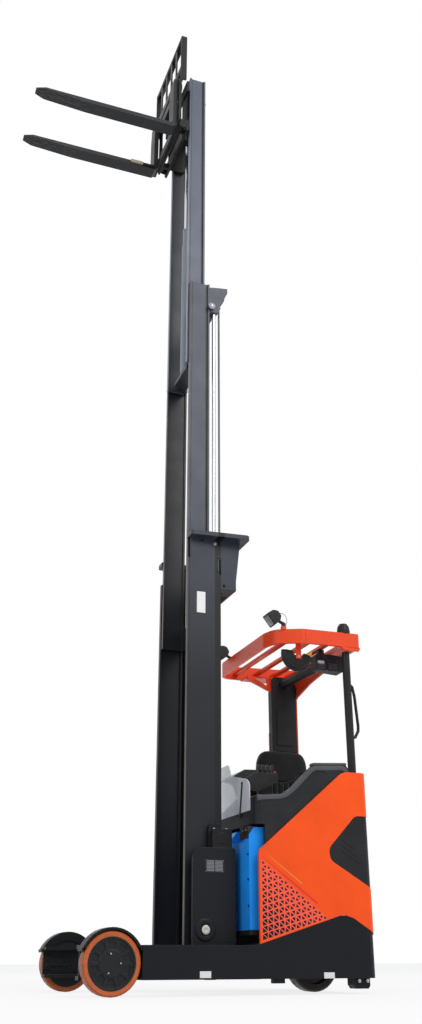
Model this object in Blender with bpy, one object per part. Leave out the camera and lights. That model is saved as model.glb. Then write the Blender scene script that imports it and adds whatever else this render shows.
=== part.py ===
"""Sit-on reach truck with a three-stage mast, shown with its forks raised to full height.

X runs rearward from the axle line of the two load wheels, the forks point to -X, the side with the
long orange panel is at -Y, and Z is up from the floor. The empty called truck carries everything and
moves the whole machine so that the middle of its footprint is at the origin. Sizes are in metres.
"""

import math

import bmesh
import bpy
from mathutils import Matrix, Vector

# Driving dimensions of the whole truck
WIDTH = 1.27
HALF_WIDTH = WIDTH / 2
REAR_X = 1.726
BELLY_Z = 0.089
GAP = 0.0003
RUNNING_GAP = 0.005

# Load wheels and the two arms that carry them
LOAD_WHEEL_RADIUS = 0.175
LOAD_WHEEL_WIDTH = 0.100
LOAD_TYRE_THICKNESS = 0.031
LOAD_AXLE_RADIUS = 0.028
ARM_BOTTOM_Z = 0.088
ARM_TOP_Z = 0.275
ARM_TIP_X = -0.170
ARM_INSIDE_Y = HALF_WIDTH - 0.185
ARM_WEB_Y = HALF_WIDTH - LOAD_WHEEL_WIDTH - 0.005
ARM_WALL = 0.012
ARM_FLANGE = 0.020
ARM_BOX_X = 0.183
HUB_CAP_RADIUS = 0.072
HUB_POCKETS = 10
FENDER_GAP = 0.015
FENDER_WALL = 0.005

# Drive wheel
DRIVE_X = 1.522
DRIVE_Y = -0.075
DRIVE_WHEEL_RADIUS = 0.170
DRIVE_WHEEL_WIDTH = 0.114
STEER_RING_RADIUS = 0.125
DRIVE_MOTOR_RADIUS = 0.090

# Reach cylinder, which pushes the mast carriage forward between the arms
REACH_Y = 0.160
REACH_Z = 0.180
REACH_BARREL_RADIUS = 0.030
REACH_ROD_RADIUS = 0.0175
CARRIAGE_REAR_X = 0.848

# Chassis, panels and operator's place; the belt line is where the orange panels meet the chassis
BELT_LINE = [(0.925, 0.281), (1.473, 0.446), (1.515, 0.449), (1.571, 0.432), (1.800, 0.290)]
CHASSIS_WALL = 0.020
CHASSIS_FRONT_X = 0.900
CORNER_RADIUS = 0.070
PANEL_WALL = 0.018
DECK_Z = 0.385
DECK_THICKNESS = 0.020
BATTERY_FRONT_X = 0.889
BATTERY_REAR_X = 1.225
BATTERY_HALF_WIDTH = HALF_WIDTH - 0.075
BATTERY_BOTTOM_Z = 0.361
BATTERY_TOP_Z = 0.971
BATTERY_SCREWS = (0.500, 0.655, 0.805)
SEAT_X = 1.485
SEAT_WIDTH = 0.400
BULKHEAD_TOP_Z = 1.030
STEERING_AT = (1.500, -0.380)
LEVERS = 4
SEAT_TOP_Z = 1.625
SEAT_BACK_Y = 0.238
ENTRY_Y = -0.180
PANEL_NEAR_END_Y = -HALF_WIDTH + 0.110
REAR_PANEL_END_Y = HALF_WIDTH - 0.305
COWL_WALL = 0.030
COWL_INSET = PANEL_WALL + 0.0008
TRAY_THICKNESS = 0.029

# Side views of the orange panel, its vent and the black housing: corners (X, Z, corner radius)
ORANGE_EDGE = [(x, z + 2 * GAP, 0) for x, z in BELT_LINE] + [
    (1.800, 1.3400, 0),
    (1.545, 1.3400, 0.100),
    (0.926, 0.8230, 0.030),
]
VENT_DEPTH = 0.095
VENT_ROWS = 3
VENT_SLOTS = 7
VENT_EDGE = [
    (1.428, 0.776, 0.050),
    (1.800, 0.560, 0),
    (1.800, 1.058, 0),
    (1.618, 1.058, 0.060),
    (1.414, 0.846, 0.060),
]
COWL_SUNK = [
    (1.012, 0.955, 0.020),
    (1.472, 1.338, 0.020),
    (1.352, 1.338, 0.030),
    (1.176, 1.162, 0.050),
    (1.092, 1.146, 0.060),
    (0.964, 1.132, 0.020),
    (0.964, 1.020, 0.020),
]
COWL_FRONT_X = 0.923
COWL_EDGE = [
    (0.980, 0.838, 0),
    (1.520, 1.305, 0.020),
    (1.618, 1.305, 0),
    (1.610, 1.352, 0.010),
    (1.576, 1.391, 0.016),
    (1.330, 1.376, 0.050),
    (1.162, 1.200, 0.080),
    (1.090, 1.180, 0.080),
    (COWL_FRONT_X, 1.166, 0.010),
    (COWL_FRONT_X, 0.986, 0.006),
    (0.980, 0.986, 0),
]

# Overhead guard
GUARD_TOP_Z = 2.345
GUARD_REAR_X = 1.785
GUARD_RAIL_HEIGHT = 0.104
GUARD_RAIL_WALL = 0.022
GUARD_SLATS = (1.258, 1.420, 1.570, 1.690)
GUARD_PLAN = [
    (GUARD_REAR_X, -HALF_WIDTH + 0.082, 0.030),
    (1.340, -HALF_WIDTH + 0.094, 0.150),
    (1.150, -0.455, 0.160),
    (1.119, -0.330, 0.150),
    (1.119, HALF_WIDTH - 0.025, 0.105),
    (1.320, HALF_WIDTH - 0.025, 0.020),
    (GUARD_REAR_X, HALF_WIDTH - 0.075, 0.030),
]
LAMPS = (
    ("near", 1.213, -0.477, GUARD_TOP_Z + 0.020, 38),
    ("far", 1.158, 0.420, GUARD_TOP_Z - 0.006, 30),
)
MIRROR_RADIUS = 0.118
MIRROR_X = 1.338
MIRROR_Y = -0.430
MIRROR_Z = 2.165
POST_X = 1.692
POST_Y = -HALF_WIDTH + 0.145
PILLAR_X = (1.492, 1.700)
PILLAR_Y = (HALF_WIDTH - 0.215, HALF_WIDTH - 0.170)
PILLAR_WALL = 0.010
SEAT_BOX_TOP_Z = 0.800
POST_RADIUS = 0.0285

# Mast: one row for each stage. The outer face is half the width across the two rails.
OUTER = dict(front=0.533, rear=0.715, face=0.340, depth=0.035, recess=0.0, bottom=0.086, top=3.050)
MIDDLE = dict(front=0.540, rear=0.709, face=0.300, depth=0.031, recess=0.0105, bottom=2.340, top=5.350)
INNER = dict(front=0.527, rear=0.676, face=0.264, depth=0.034, recess=0.0115, bottom=4.580, top=7.690)
RAIL_FLANGE = 0.016
RAIL_WEB = 0.010
OUTER_WEB = 0.014
SHIELD_REAR_X = 0.785
ROLLER_SIDE_GAP = 0.0055
CROWN_REAR_X = 0.985
FLANGE_Z = 2.642

# Side view of the middle stage's head bracket, as (X, Z)
HEAD_PROFILE = [
    (0.700, 5.320),
    (0.768, 5.333),
    (0.868, 5.346),
    (0.868, 5.300),
    (0.836, 5.230),
    (0.795, 5.169),
    (0.807, 5.131),
    (0.790, 5.097),
    (0.775, 5.080),
    (0.700, 5.080),
]

# Lift cylinders, chains and the sheaves on the middle stage's head
LIFT_X = 0.756
LIFT_Y = 0.270
LIFT_ROD_RADIUS = 0.016
LIFT_BARREL_RADIUS = 0.029
LIFT_BARREL_TOP_Z = 2.700
SHEAVE_Z = 5.130
CHAIN_Y = 0.245
CHAIN_WIDTH = 0.020
CHAIN_THICKNESS = 0.010
CHAIN_RADIUS = 0.054
FREE_X = 0.596
FREE_BARREL_RADIUS = 0.0375
FREE_ROD_RADIUS = 0.022
FREE_BARREL_BOTTOM_Z = 4.620
FREE_BARREL_TOP_Z = 6.120
FREE_ROD_TOP_Z = 7.330
FREE_WHEEL_RADIUS = 0.036
FREE_CHAIN_FRONT_Z = 7.200

# Carriage, forks and load guard at the top of the mast
FORK_UNDERSIDE_Z = 6.950
FORK_LENGTH = 1.220
FORK_WIDTH = 0.122
FORK_THICKNESS = 0.040
FORK_Y = 0.290
SHANK_FRONT_X = 0.339
CARRIAGE_HALF_WIDTH = 0.390
CARRIAGE_FRONT_X = 0.475
TILT_FRAME_X = (0.410, 0.428)
SHIFT_BARS_X = (0.380, 0.4045)
TILT_X = 0.448
TILT_HEIGHT = 0.080
TILT_PIN_RADIUS = 0.012
TILT_LUG_Y = (0.225, 0.305)
TILT_LUG_WIDTH = 0.015
BACKREST_TOP_Z = 8.050

FORK_TIP_X = SHANK_FRONT_X - FORK_LENGTH
MIDDLE_X = (FORK_TIP_X + GUARD_REAR_X) / 2
NEAR, FAR = -1, 1
SIDES = (("near", NEAR), ("far", FAR))


def clear_scene():
    for thing in list(bpy.data.objects):
        bpy.data.objects.remove(thing, do_unlink=True)


def finish(name, red, green, blue, roughness, metallic=0.0):
    """A plain finish; the colour is given as it looks on a screen, 0 to 255."""
    material = bpy.data.materials.new(name)
    material.use_nodes = True
    shader = material.node_tree.nodes["Principled BSDF"]
    linear = [((c / 255 + 0.055) / 1.055) ** 2.4 if c > 10 else c / 3294.6 for c in (red, green, blue)]
    shader.inputs["Base Color"].default_value = (*linear, 1.0)
    shader.inputs["Roughness"].default_value = roughness
    shader.inputs["Metallic"].default_value = metallic
    return material


# Carriers are the empties that stand on the joints' axes.


CARRIERS = {}


def carrier(name, point, parent=None):
    empty = bpy.data.objects.new(name, None)
    bpy.context.scene.collection.objects.link(empty)
    held_by = CARRIERS[parent]["point"] if parent else (MIDDLE_X, 0.0, 0.0)
    empty.location = [p - h for p, h in zip(point, held_by)]
    if parent:
        empty.parent = CARRIERS[parent]["empty"]
    CARRIERS[name] = dict(empty=empty, point=point)


# Basic shapes, drawn in the truck's own frame


def arc(centre_a, centre_b, radius, start, end, steps):
    """Points of an arc, angles in degrees."""
    turn = [math.radians(start + (end - start) * i / steps) for i in range(steps + 1)]
    return [(centre_a + radius * math.cos(t), centre_b + radius * math.sin(t)) for t in turn]


def rounded(corners, steps=3):
    """An outline from corners (a, b, radius): each corner with a radius becomes an arc."""
    outline = []
    count = len(corners)
    for i, (a, b, radius) in enumerate(corners):
        if radius == 0:
            outline.append((a, b))
            continue
        before, after = corners[i - 1], corners[(i + 1) % count]
        to_before = (before[0] - a, before[1] - b)
        to_after = (after[0] - a, after[1] - b)
        length_before = math.hypot(*to_before)
        length_after = math.hypot(*to_after)
        unit_before = (to_before[0] / length_before, to_before[1] / length_before)
        unit_after = (to_after[0] / length_after, to_after[1] / length_after)
        cosine = unit_before[0] * unit_after[0] + unit_before[1] * unit_after[1]
        half = math.acos(max(-1.0, min(1.0, cosine))) / 2
        reach = min(radius / math.tan(half), 0.49 * length_before, 0.49 * length_after)
        radius = reach * math.tan(half)
        middle = (unit_before[0] + unit_after[0], unit_before[1] + unit_after[1])
        scale = radius / math.sin(half) / math.hypot(*middle)
        centre = (a + middle[0] * scale, b + middle[1] * scale)
        first = (a + unit_before[0] * reach, b + unit_before[1] * reach)
        last = (a + unit_after[0] * reach, b + unit_after[1] * reach)
        start = math.atan2(first[1] - centre[1], first[0] - centre[0])
        end = math.atan2(last[1] - centre[1], last[0] - centre[0])
        swing = (end - start + math.pi) % (2 * math.pi) - math.pi
        for k in range(steps + 1):
            turn = start + swing * k / steps
            outline.append((centre[0] + radius * math.cos(turn), centre[1] + radius * math.sin(turn)))
    return outline


def inset(corners, amount):
    """The same corners with every edge moved inward by the given amount."""
    count = len(corners)
    area = sum(corners[i - 1][0] * corners[i][1] - corners[i][0] * corners[i - 1][1] for i in range(count))
    inward = 1 if area > 0 else -1
    result = []
    for i, (a, b, radius) in enumerate(corners):
        before, after = corners[i - 1], corners[(i + 1) % count]
        in_a, in_b = a - before[0], b - before[1]
        out_a, out_b = after[0] - a, after[1] - b
        in_length, out_length = math.hypot(in_a, in_b), math.hypot(out_a, out_b)
        in_a, in_b, out_a, out_b = in_a / in_length, in_b / in_length, out_a / out_length, out_b / out_length
        turn = inward * (in_a * out_b - in_b * out_a)
        spread = 1 + in_a * out_a + in_b * out_b
        move_a = inward * amount * (-in_b - out_b) / spread
        move_b = inward * amount * (in_a + out_a) / spread
        inner_radius = max(radius - amount, 0.0) if turn > 0 else radius + amount * (radius > 0)
        result.append((a + move_a, b + move_b, inner_radius))
    return result


PLACE = {
    "X": lambda a, b, h: (h, a, b),
    "Y": lambda a, b, h: (a, h, b),
    "Z": lambda a, b, h: (a, b, h),
}


def prism(outline, axis, low, high):
    """A flat outline drawn out along an axis. It is drawn in (Y, Z), (X, Z) or (X, Y)."""
    shape = bmesh.new()
    place = PLACE[axis]
    lower = [shape.verts.new(place(a, b, low)) for a, b in outline]
    upper = [shape.verts.new(place(a, b, high)) for a, b in outline]
    shape.faces.new(lower)
    shape.faces.new(upper)
    for i, vert in enumerate(lower):
        after = (i + 1) % len(lower)
        shape.faces.new((vert, lower[after], upper[after], upper[i]))
    return shape


def box(x0, x1, y0, y1, z0, z1):
    return prism([(x0, y0), (x1, y0), (x1, y1), (x0, y1)], "Z", z0, z1)


def turned(profile, axis, centre, steps=20):
    """A profile of (radius, place along the axis) turned about it; an end at radius 0 is closed there,
    and a profile with no such end is a ring and closes on itself."""
    shape = bmesh.new()
    place = PLACE[axis]
    rings = []
    for radius, along in profile:
        if radius == 0:
            rings.append([shape.verts.new(place(centre[0], centre[1], along))])
            continue
        ring = arc(centre[0], centre[1], radius, 0, 360 - 360 / steps, steps - 1)
        rings.append([shape.verts.new(place(a, b, along)) for a, b in ring])
    pairs = list(zip(rings, rings[1:]))
    if profile[0][0] > 0:
        pairs.append((rings[-1], rings[0]))
    for first, second in pairs:
        for i in range(steps):
            after = (i + 1) % steps
            corners = [first[i % len(first)], first[after % len(first)]]
            corners += [second[after % len(second)], second[i % len(second)]]
            unique = list(dict.fromkeys(corners))
            if len(unique) > 2:
                shape.faces.new(unique)
    return shape


def rod(axis, centre, radius, low, high, steps=16):
    return turned([(0, low), (radius, low), (radius, high), (0, high)], axis, centre, steps)


def tube(points, radius, sides=8):
    """A round bar along a path of points, with mitred bends and flat ends."""
    path = [Vector(point) for point in points]
    shape = bmesh.new()
    rings = []
    across = None
    for i, point in enumerate(path):
        into = (point - path[i - 1]).normalized() if i else (path[1] - point).normalized()
        out = (path[i + 1] - point).normalized() if i + 1 < len(path) else into
        along = (into + out).normalized()
        if across is None:
            across = along.orthogonal().normalized()
        across = (across - into * (across.dot(into) / max(1e-9, into.dot(into)))).normalized()
        other = into.cross(across)
        ring = []
        for k in range(sides):
            turn = 2 * math.pi * k / sides
            spoke = across * math.cos(turn) * radius + other * math.sin(turn) * radius
            spoke -= into * (spoke.dot(along) / into.dot(along))
            ring.append(shape.verts.new(point + spoke))
        rings.append(ring)
        across = (across - out * across.dot(out)).normalized()
    for first, second in zip(rings, rings[1:]):
        for k in range(sides):
            after = (k + 1) % sides
            shape.faces.new((first[k], first[after], second[after], second[k]))
    shape.faces.new(rings[0])
    shape.faces.new(rings[-1])
    return shape


def gathered(shapes):
    """Several shapes that don't meet, as one tool."""
    whole = bmesh.new()
    for shape in shapes:
        mesh = bpy.data.meshes.new("gathered")
        shape.to_mesh(mesh)
        shape.free()
        whole.from_mesh(mesh)
        bpy.data.meshes.remove(mesh)
    return whole


def ordered(side, first, last):
    """The two distances from the middle, on the given side, in rising order."""
    return sorted((side * first, side * last))


def add(name, shape, look, held_by="truck", smooth=None):
    """Turns a finished shape into a named object that hangs on a carrier."""
    bmesh.ops.recalc_face_normals(shape, faces=shape.faces)
    mesh = bpy.data.meshes.new(name)
    shape.to_mesh(mesh)
    shape.free()
    mesh.materials.append(look)
    thing = bpy.data.objects.new(name, mesh)
    bpy.context.scene.collection.objects.link(thing)
    thing.parent = CARRIERS[held_by]["empty"]
    thing.location = [-p for p in CARRIERS[held_by]["point"]]
    if smooth:
        mesh.shade_smooth()
        mesh.set_sharp_from_angle(angle=math.radians(smooth))
    return thing


def work(thing, shape, operation):
    """Joins a shape to an object, or takes it away, or keeps only what both share."""
    held_by = next(name for name, held in CARRIERS.items() if held["empty"] == thing.parent)
    tool = add(f"{thing.name}_tool_{len(thing.modifiers)}", shape, thing.data.materials[0], held_by)
    tool.hide_render = True
    tool.display_type = "WIRE"
    modifier = thing.modifiers.new(operation.lower(), "BOOLEAN")
    modifier.operation = operation
    modifier.object = tool


def join(thing, *shapes):
    for shape in shapes:
        work(thing, shape, "UNION")
    return thing


def cut(thing, *shapes):
    for shape in shapes:
        work(thing, shape, "DIFFERENCE")
    return thing


# Load wheels, their axles and fenders


def load_wheels(look):
    """Polyurethane tyre on a cast hub with a ring of pockets and a cap held by three bolts."""
    centre = HALF_WIDTH - LOAD_WHEEL_WIDTH / 2
    half = LOAD_WHEEL_WIDTH / 2
    hub_radius = LOAD_WHEEL_RADIUS - LOAD_TYRE_THICKNESS
    bore = LOAD_AXLE_RADIUS + 0.0005
    edge = 0.010
    middle = (0.0, LOAD_WHEEL_RADIUS)
    tyre = [
        (hub_radius + GAP, -half + 0.003),
        (LOAD_WHEEL_RADIUS - edge, -half),
        (LOAD_WHEEL_RADIUS, -half + edge),
        (LOAD_WHEEL_RADIUS, half - edge),
        (LOAD_WHEEL_RADIUS - edge, half),
        (hub_radius + GAP, half - 0.003),
    ]
    hub = [
        (0, half - 0.010),
        (HUB_CAP_RADIUS, half - 0.010),
        (HUB_CAP_RADIUS + 0.004, half - 0.015),
        (hub_radius - 0.014, half - 0.015),
        (hub_radius - 0.010, half - 0.006),
        (hub_radius, half - 0.006),
        (hub_radius, -half + 0.006),
        (bore, -half + 0.006),
        (bore, 0.020),
        (0, 0.020),
    ]
    inner, outer = HUB_CAP_RADIUS + 0.010, hub_radius - 0.022
    for name, side in SIDES:
        held_by = f"load_wheel_{name}_axis"
        carrier(held_by, (0.0, side * centre, LOAD_WHEEL_RADIUS), "truck")
        turned_at = [(r, side * (centre + along)) for r, along in tyre]
        add(f"load_tyre_{name}", turned(turned_at, "Y", middle, 36), look["tyre"], held_by, 40)
        turned_at = [(r, side * (centre + along)) for r, along in hub]
        wheel = add(f"load_hub_{name}", turned(turned_at, "Y", middle, 36), look["hub"], held_by, 40)
        face = centre + half
        low, high = ordered(side, face - 0.023, face + 0.01)
        pockets = []
        for i in range(HUB_POCKETS):
            turn = 360 / HUB_POCKETS * (i + 0.5)
            spread_in, spread_out = 12.5, 13.5
            corners = [(inner, turn - spread_in), (outer, turn - spread_out), (outer, turn + spread_out), (inner, turn + spread_in)]
            at = [(r * math.cos(math.radians(t)), LOAD_WHEEL_RADIUS + r * math.sin(math.radians(t))) for r, t in corners]
            pockets.append(prism(at, "Y", low, high))
        cut(wheel, gathered(pockets))
        low, high = ordered(side, face - 0.012, face - 0.003)
        for turn in (110, 230, 350):
            at = (0.058 * math.cos(math.radians(turn)), LOAD_WHEEL_RADIUS + 0.058 * math.sin(math.radians(turn)))
            join(wheel, rod("Y", at, 0.007, low, high, 6))


def fenders(look):
    """Thin curved guards; each stands on a foot at the arm's box and on a lug at the arm's tip."""
    inner = LOAD_WHEEL_RADIUS + FENDER_GAP
    root = ARM_WEB_Y + GAP
    for name, side in SIDES:
        outline = arc(0, LOAD_WHEEL_RADIUS, inner + FENDER_WALL, 25, 156, 20)
        outline += reversed(arc(0, LOAD_WHEEL_RADIUS, inner, 25, 156, 20))
        guard = add(f"load_fender_{name}", prism(outline, "Y", *ordered(side, root, HALF_WIDTH)), look["frame"])
        lip_shape = arc(0, LOAD_WHEEL_RADIUS, inner + 0.002, 28, 153, 18)
        lip_shape += reversed(arc(0, LOAD_WHEEL_RADIUS, LOAD_WHEEL_RADIUS + 0.006, 28, 153, 18))
        join(guard, prism(lip_shape, "Y", *ordered(side, HALF_WIDTH - 0.005, HALF_WIDTH - 0.001)))
        foot_x = (inner + FENDER_WALL / 2) * math.cos(math.radians(25))
        foot = box(foot_x - 0.002, ARM_BOX_X - GAP, *ordered(side, root, HALF_WIDTH - 0.004), 0.246, 0.262)
        join(guard, foot)
        lip = (inner + FENDER_WALL / 2) * math.cos(math.radians(156))
        lip_z = LOAD_WHEEL_RADIUS + (inner + FENDER_WALL / 2) * math.sin(math.radians(156))
        join(guard, box(lip - 0.006, lip + 0.004, *ordered(side, root, HALF_WIDTH - 0.001), lip_z - 0.012, lip_z + 0.008))


def load_axle(side):
    """Stub axle with its flange, welded to the outside of the arm's web."""
    tip = WIDTH / 2 - LOAD_WHEEL_WIDTH / 2 + 0.015
    root, flange = ARM_WEB_Y - 0.004, ARM_WEB_Y + 0.008
    profile = [(0, root), (0.050, root), (0.050, flange)]
    profile += [(LOAD_AXLE_RADIUS, flange), (LOAD_AXLE_RADIUS, tip), (0, tip)]
    return turned([(r, side * along) for r, along in profile], "Y", (0.0, LOAD_WHEEL_RADIUS), 24)


# Chassis: two arms, side walls, cross beams and feet


def chassis(look):
    """Both arms are channels that open inward, boxed in behind the wheels, and the rear is a ring of
    plate whose upper edge follows the orange panels."""
    half = HALF_WIDTH
    front = CHASSIS_FRONT_X
    wall = CHASSIS_WALL
    plan = [(front, -half, 0), (REAR_X, -half, CORNER_RADIUS), (REAR_X, half, CORNER_RADIUS), (front, half, 0)]
    inside = [
        (front + 0.050, -half + wall, 0),
        (REAR_X - wall, -half + wall, CORNER_RADIUS - wall),
        (REAR_X - wall, half - wall, CORNER_RADIUS - wall),
        (front + 0.050, half - wall, 0),
    ]
    ring_top = max(z for x, z in BELT_LINE) + 0.050
    frame = add("chassis_frame", prism(rounded(plan, 5), "Z", BELLY_Z, ring_top), look["frame"])
    cut(frame, prism(rounded(inside, 5), "Z", 0.0, ring_top + 0.1))
    top_edge = [(front, ARM_TOP_Z)] + BELT_LINE
    above = top_edge + [(BELT_LINE[-1][0], 0.7), (front - 0.02, 0.7), (front - 0.02, ARM_TOP_Z)]
    cut(frame, prism(above, "Y", -half - 0.1, half + 0.1))
    cut(frame, box(front - 0.02, front + 0.06, -ARM_INSIDE_Y, ARM_INSIDE_Y, 0.0, 0.230))
    for side in (NEAR, FAR):
        join(frame, box(ARM_TIP_X, front + 0.02, *ordered(side, ARM_INSIDE_Y, ARM_WEB_Y), ARM_BOTTOM_Z, ARM_TOP_Z))
        box_y = ordered(side, ARM_WEB_Y - 0.004, half)
        join(frame, box(ARM_BOX_X, front + 0.02, *box_y, ARM_BOTTOM_Z, ARM_TOP_Z))
        channel_y = ordered(side, ARM_INSIDE_Y - 0.01, ARM_WEB_Y - ARM_WALL)
        channel_z = (ARM_BOTTOM_Z + ARM_FLANGE, ARM_TOP_Z - ARM_FLANGE)
        cut(frame, box(ARM_TIP_X - 0.01, front - 0.01, *channel_y, *channel_z))
        join(frame, load_axle(side))
        end_stop(frame, side)
    across = (-half + wall - 0.001, half - wall + 0.001)
    beam_top = BATTERY_BOTTOM_Z - TRAY_THICKNESS - GAP
    join(frame, box(BATTERY_REAR_X + 0.020, BATTERY_REAR_X + 0.060, *across, 0.100, beam_top))
    join(frame, box(front + 0.060, front + 0.100, *across, beam_top - 0.090, beam_top))
    cut(frame, rod("X", (REACH_Y, REACH_Z), REACH_BARREL_RADIUS + GAP, 1.2, 1.35, 24))
    for side in (NEAR, FAR):
        join(frame, box(1.010, 1.086, *ordered(side, half - 0.050, half - 0.010), 0.064, 0.100))
        rear_foot(frame, side)


def end_stop(frame, side):
    """Bolted stop at the arm's tip, a bar with two holes, which keeps the carriage's rollers in the channel."""
    inner = ARM_WEB_Y - ARM_WALL
    middle = (ARM_BOTTOM_Z + ARM_TOP_Z) / 2
    plate_y = ordered(side, inner - 0.008, inner + 0.002)
    join(frame, box(ARM_TIP_X + 0.001, ARM_TIP_X + 0.050, *plate_y, middle - 0.045, middle + 0.045))
    join(frame, box(ARM_TIP_X + 0.045, ARM_TIP_X + 0.170, *plate_y, middle - 0.024, middle + 0.024))
    holes = [rod("Y", (ARM_TIP_X + x, middle), 0.008, *ordered(side, inner - 0.02, inner + 0.001), 12) for x in (0.085, 0.145)]
    cut(frame, gathered(holes))
    for z in (middle - 0.020, middle + 0.020):
        join(frame, rod("Y", (ARM_TIP_X + 0.025, z), 0.009, *ordered(side, inner - 0.014, inner - 0.006), 6))


def rear_foot(frame, side):
    """Foot that catches the truck if it leans, held by two bolts; the far one stands higher."""
    face = HALF_WIDTH - CHASSIS_WALL + 0.004
    y0, y1 = ordered(side, face - 0.082, face)
    low = 0.030 if side == NEAR else 0.068
    outline = [
        (1.552, BELLY_Z + 0.011, 0),
        (1.668, BELLY_Z + 0.011, 0),
        (1.668, low + 0.016, 0.006),
        (1.656, low, 0.004),
        (1.568, low, 0.004),
        (1.552, low + 0.022, 0.006),
    ]
    join(frame, prism(rounded(outline, 2), "Y", y0, y1))
    for x in (1.590, 1.648) if side == NEAR else ():
        join(frame, rod("Y", (x, 0.074), 0.009, *ordered(side, face - 0.002, face + 0.006), 6))


def reach_cylinder(look):
    middle = (REACH_Y, REACH_Z)
    bore = REACH_ROD_RADIUS + 0.0005
    barrel = [
        (0, 1.640),
        (REACH_BARREL_RADIUS, 1.640),
        (REACH_BARREL_RADIUS, 0.930),
        (bore, 0.930),
        (bore, 1.610),
        (0, 1.610),
    ]
    add("reach_cylinder_barrel", turned(barrel, "X", middle), look["black_paint"], smooth=40)
    rod_shape = rod("X", middle, REACH_ROD_RADIUS, CARRIAGE_REAR_X + GAP, 1.600)
    add("reach_cylinder_rod", rod_shape, look["chrome"], "reach_axis", 40)


# Drive unit


def drive_unit(look):
    """Steered gearbox on its ring, the wheel on its hub, and the upright motor over them."""
    carrier("steering_axis", (DRIVE_X, DRIVE_Y, DECK_Z), "truck")
    carrier("drive_wheel_axis", (DRIVE_X, DRIVE_Y, DRIVE_WHEEL_RADIUS), "steering_axis")
    half = DRIVE_WHEEL_WIDTH / 2
    rim = DRIVE_WHEEL_RADIUS - 0.045
    middle = (DRIVE_X, DRIVE_WHEEL_RADIUS)
    wheel = [
        (0, -half + 0.020),
        (0.070, -half + 0.020),
        (0.075, -half + 0.035),
        (rim - 0.005, -half + 0.035),
        (rim, -half + 0.002),
        (DRIVE_WHEEL_RADIUS - 0.010, -half),
        (DRIVE_WHEEL_RADIUS, -half + 0.010),
        (DRIVE_WHEEL_RADIUS, half - 0.010),
        (DRIVE_WHEEL_RADIUS - 0.010, half),
        (rim, half),
        (rim - 0.005, half - 0.030),
        (0, half - 0.030),
    ]
    turned_at = [(r, DRIVE_Y + along) for r, along in wheel]
    add("drive_wheel", turned(turned_at, "Y", middle, 32), look["tyre"], "drive_wheel_axis", 40)
    ring_top = DECK_Z - GAP
    ring_bottom = 2 * DRIVE_WHEEL_RADIUS + 0.012
    ring = [(0, ring_bottom), (STEER_RING_RADIUS, ring_bottom), (STEER_RING_RADIUS, ring_top), (0, ring_top)]
    over = (DRIVE_X, DRIVE_Y)
    unit = add("drive_gearbox", turned(ring, "Z", over, 24), look["black_paint"], "steering_axis", 40)
    inner = DRIVE_Y + half + 0.010
    case = [
        (DRIVE_X - 0.075, ring_bottom + 0.010, 0),
        (DRIVE_X - 0.065, 0.090, 0.060),
        (DRIVE_X + 0.065, 0.090, 0.060),
        (DRIVE_X + 0.075, ring_bottom + 0.010, 0),
    ]
    join(unit, prism(rounded(case, 6), "Y", inner, inner + 0.045))
    join(unit, rod("Y", middle, 0.030, DRIVE_Y + half - 0.030 + GAP, inner + 0.010))
    join(unit, turned([(0, inner + 0.040), (0.050, inner + 0.040), (0.044, inner + 0.062), (0, inner + 0.062)], "Y", middle, 20))
    deck = DECK_Z + DECK_THICKNESS + GAP
    r = DRIVE_MOTOR_RADIUS
    motor = [(0, deck), (r, deck), (r, deck + 0.020), (r - 0.006, deck + 0.024), (r - 0.006, deck + 0.270)]
    motor += [(r - 0.016, deck + 0.285), (0.060, deck + 0.285), (0.055, deck + 0.340), (0, deck + 0.340)]
    add("drive_motor", turned(motor, "Z", over, 20), look["black_paint"], smooth=40)


# Battery and the black housing round the operator


def battery(look):
    """Steel box with a sloping front edge on top, where it is notched for its plug, and its tray."""
    outline = [
        (BATTERY_FRONT_X, BATTERY_BOTTOM_Z),
        (BATTERY_REAR_X, BATTERY_BOTTOM_Z),
        (BATTERY_REAR_X, BATTERY_TOP_Z),
        (BATTERY_FRONT_X + 0.036, BATTERY_TOP_Z),
        (BATTERY_FRONT_X, BATTERY_TOP_Z - 0.048),
    ]
    half = BATTERY_HALF_WIDTH
    box_shape = add("battery", prism(outline, "Y", -half, half), look["battery"])
    notch_y = (-half + 0.090, -half + 0.300)
    notch_z = BATTERY_TOP_Z - 0.085
    cut(box_shape, box(BATTERY_FRONT_X - 0.010, BATTERY_FRONT_X + 0.060, *notch_y, notch_z, BATTERY_TOP_Z + 0.010))
    screws = [rod("X", (-half + 0.016, z), 0.006, BATTERY_FRONT_X - 0.010, BATTERY_FRONT_X + 0.006, 8) for z in BATTERY_SCREWS]
    cut(box_shape, gathered(screws))
    tray_top = BATTERY_BOTTOM_Z - GAP
    reach = half + 0.006
    tray_low = BATTERY_BOTTOM_Z - TRAY_THICKNESS
    tray = box(BATTERY_FRONT_X - 0.006, BATTERY_REAR_X + 0.006, -reach, reach, tray_low, tray_top)
    add("battery_tray", tray, look["black_paint"])


def plan_strip(inset, wall, x_front, y_end):
    """Plan of a skin that runs along the near side and round the rear corner, up to y_end."""
    outer_y = -WIDTH / 2 + inset
    outer_x = REAR_X - inset
    radius = CORNER_RADIUS - inset
    outer = [(x_front, outer_y, 0), (outer_x, outer_y, radius), (outer_x, y_end, 0)]
    inner = [
        (outer_x - wall, y_end, 0),
        (outer_x - wall, outer_y + wall, max(radius - wall, 0.004)),
        (x_front, outer_y + wall, 0),
    ]
    return rounded(outer + inner, 6)


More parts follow.
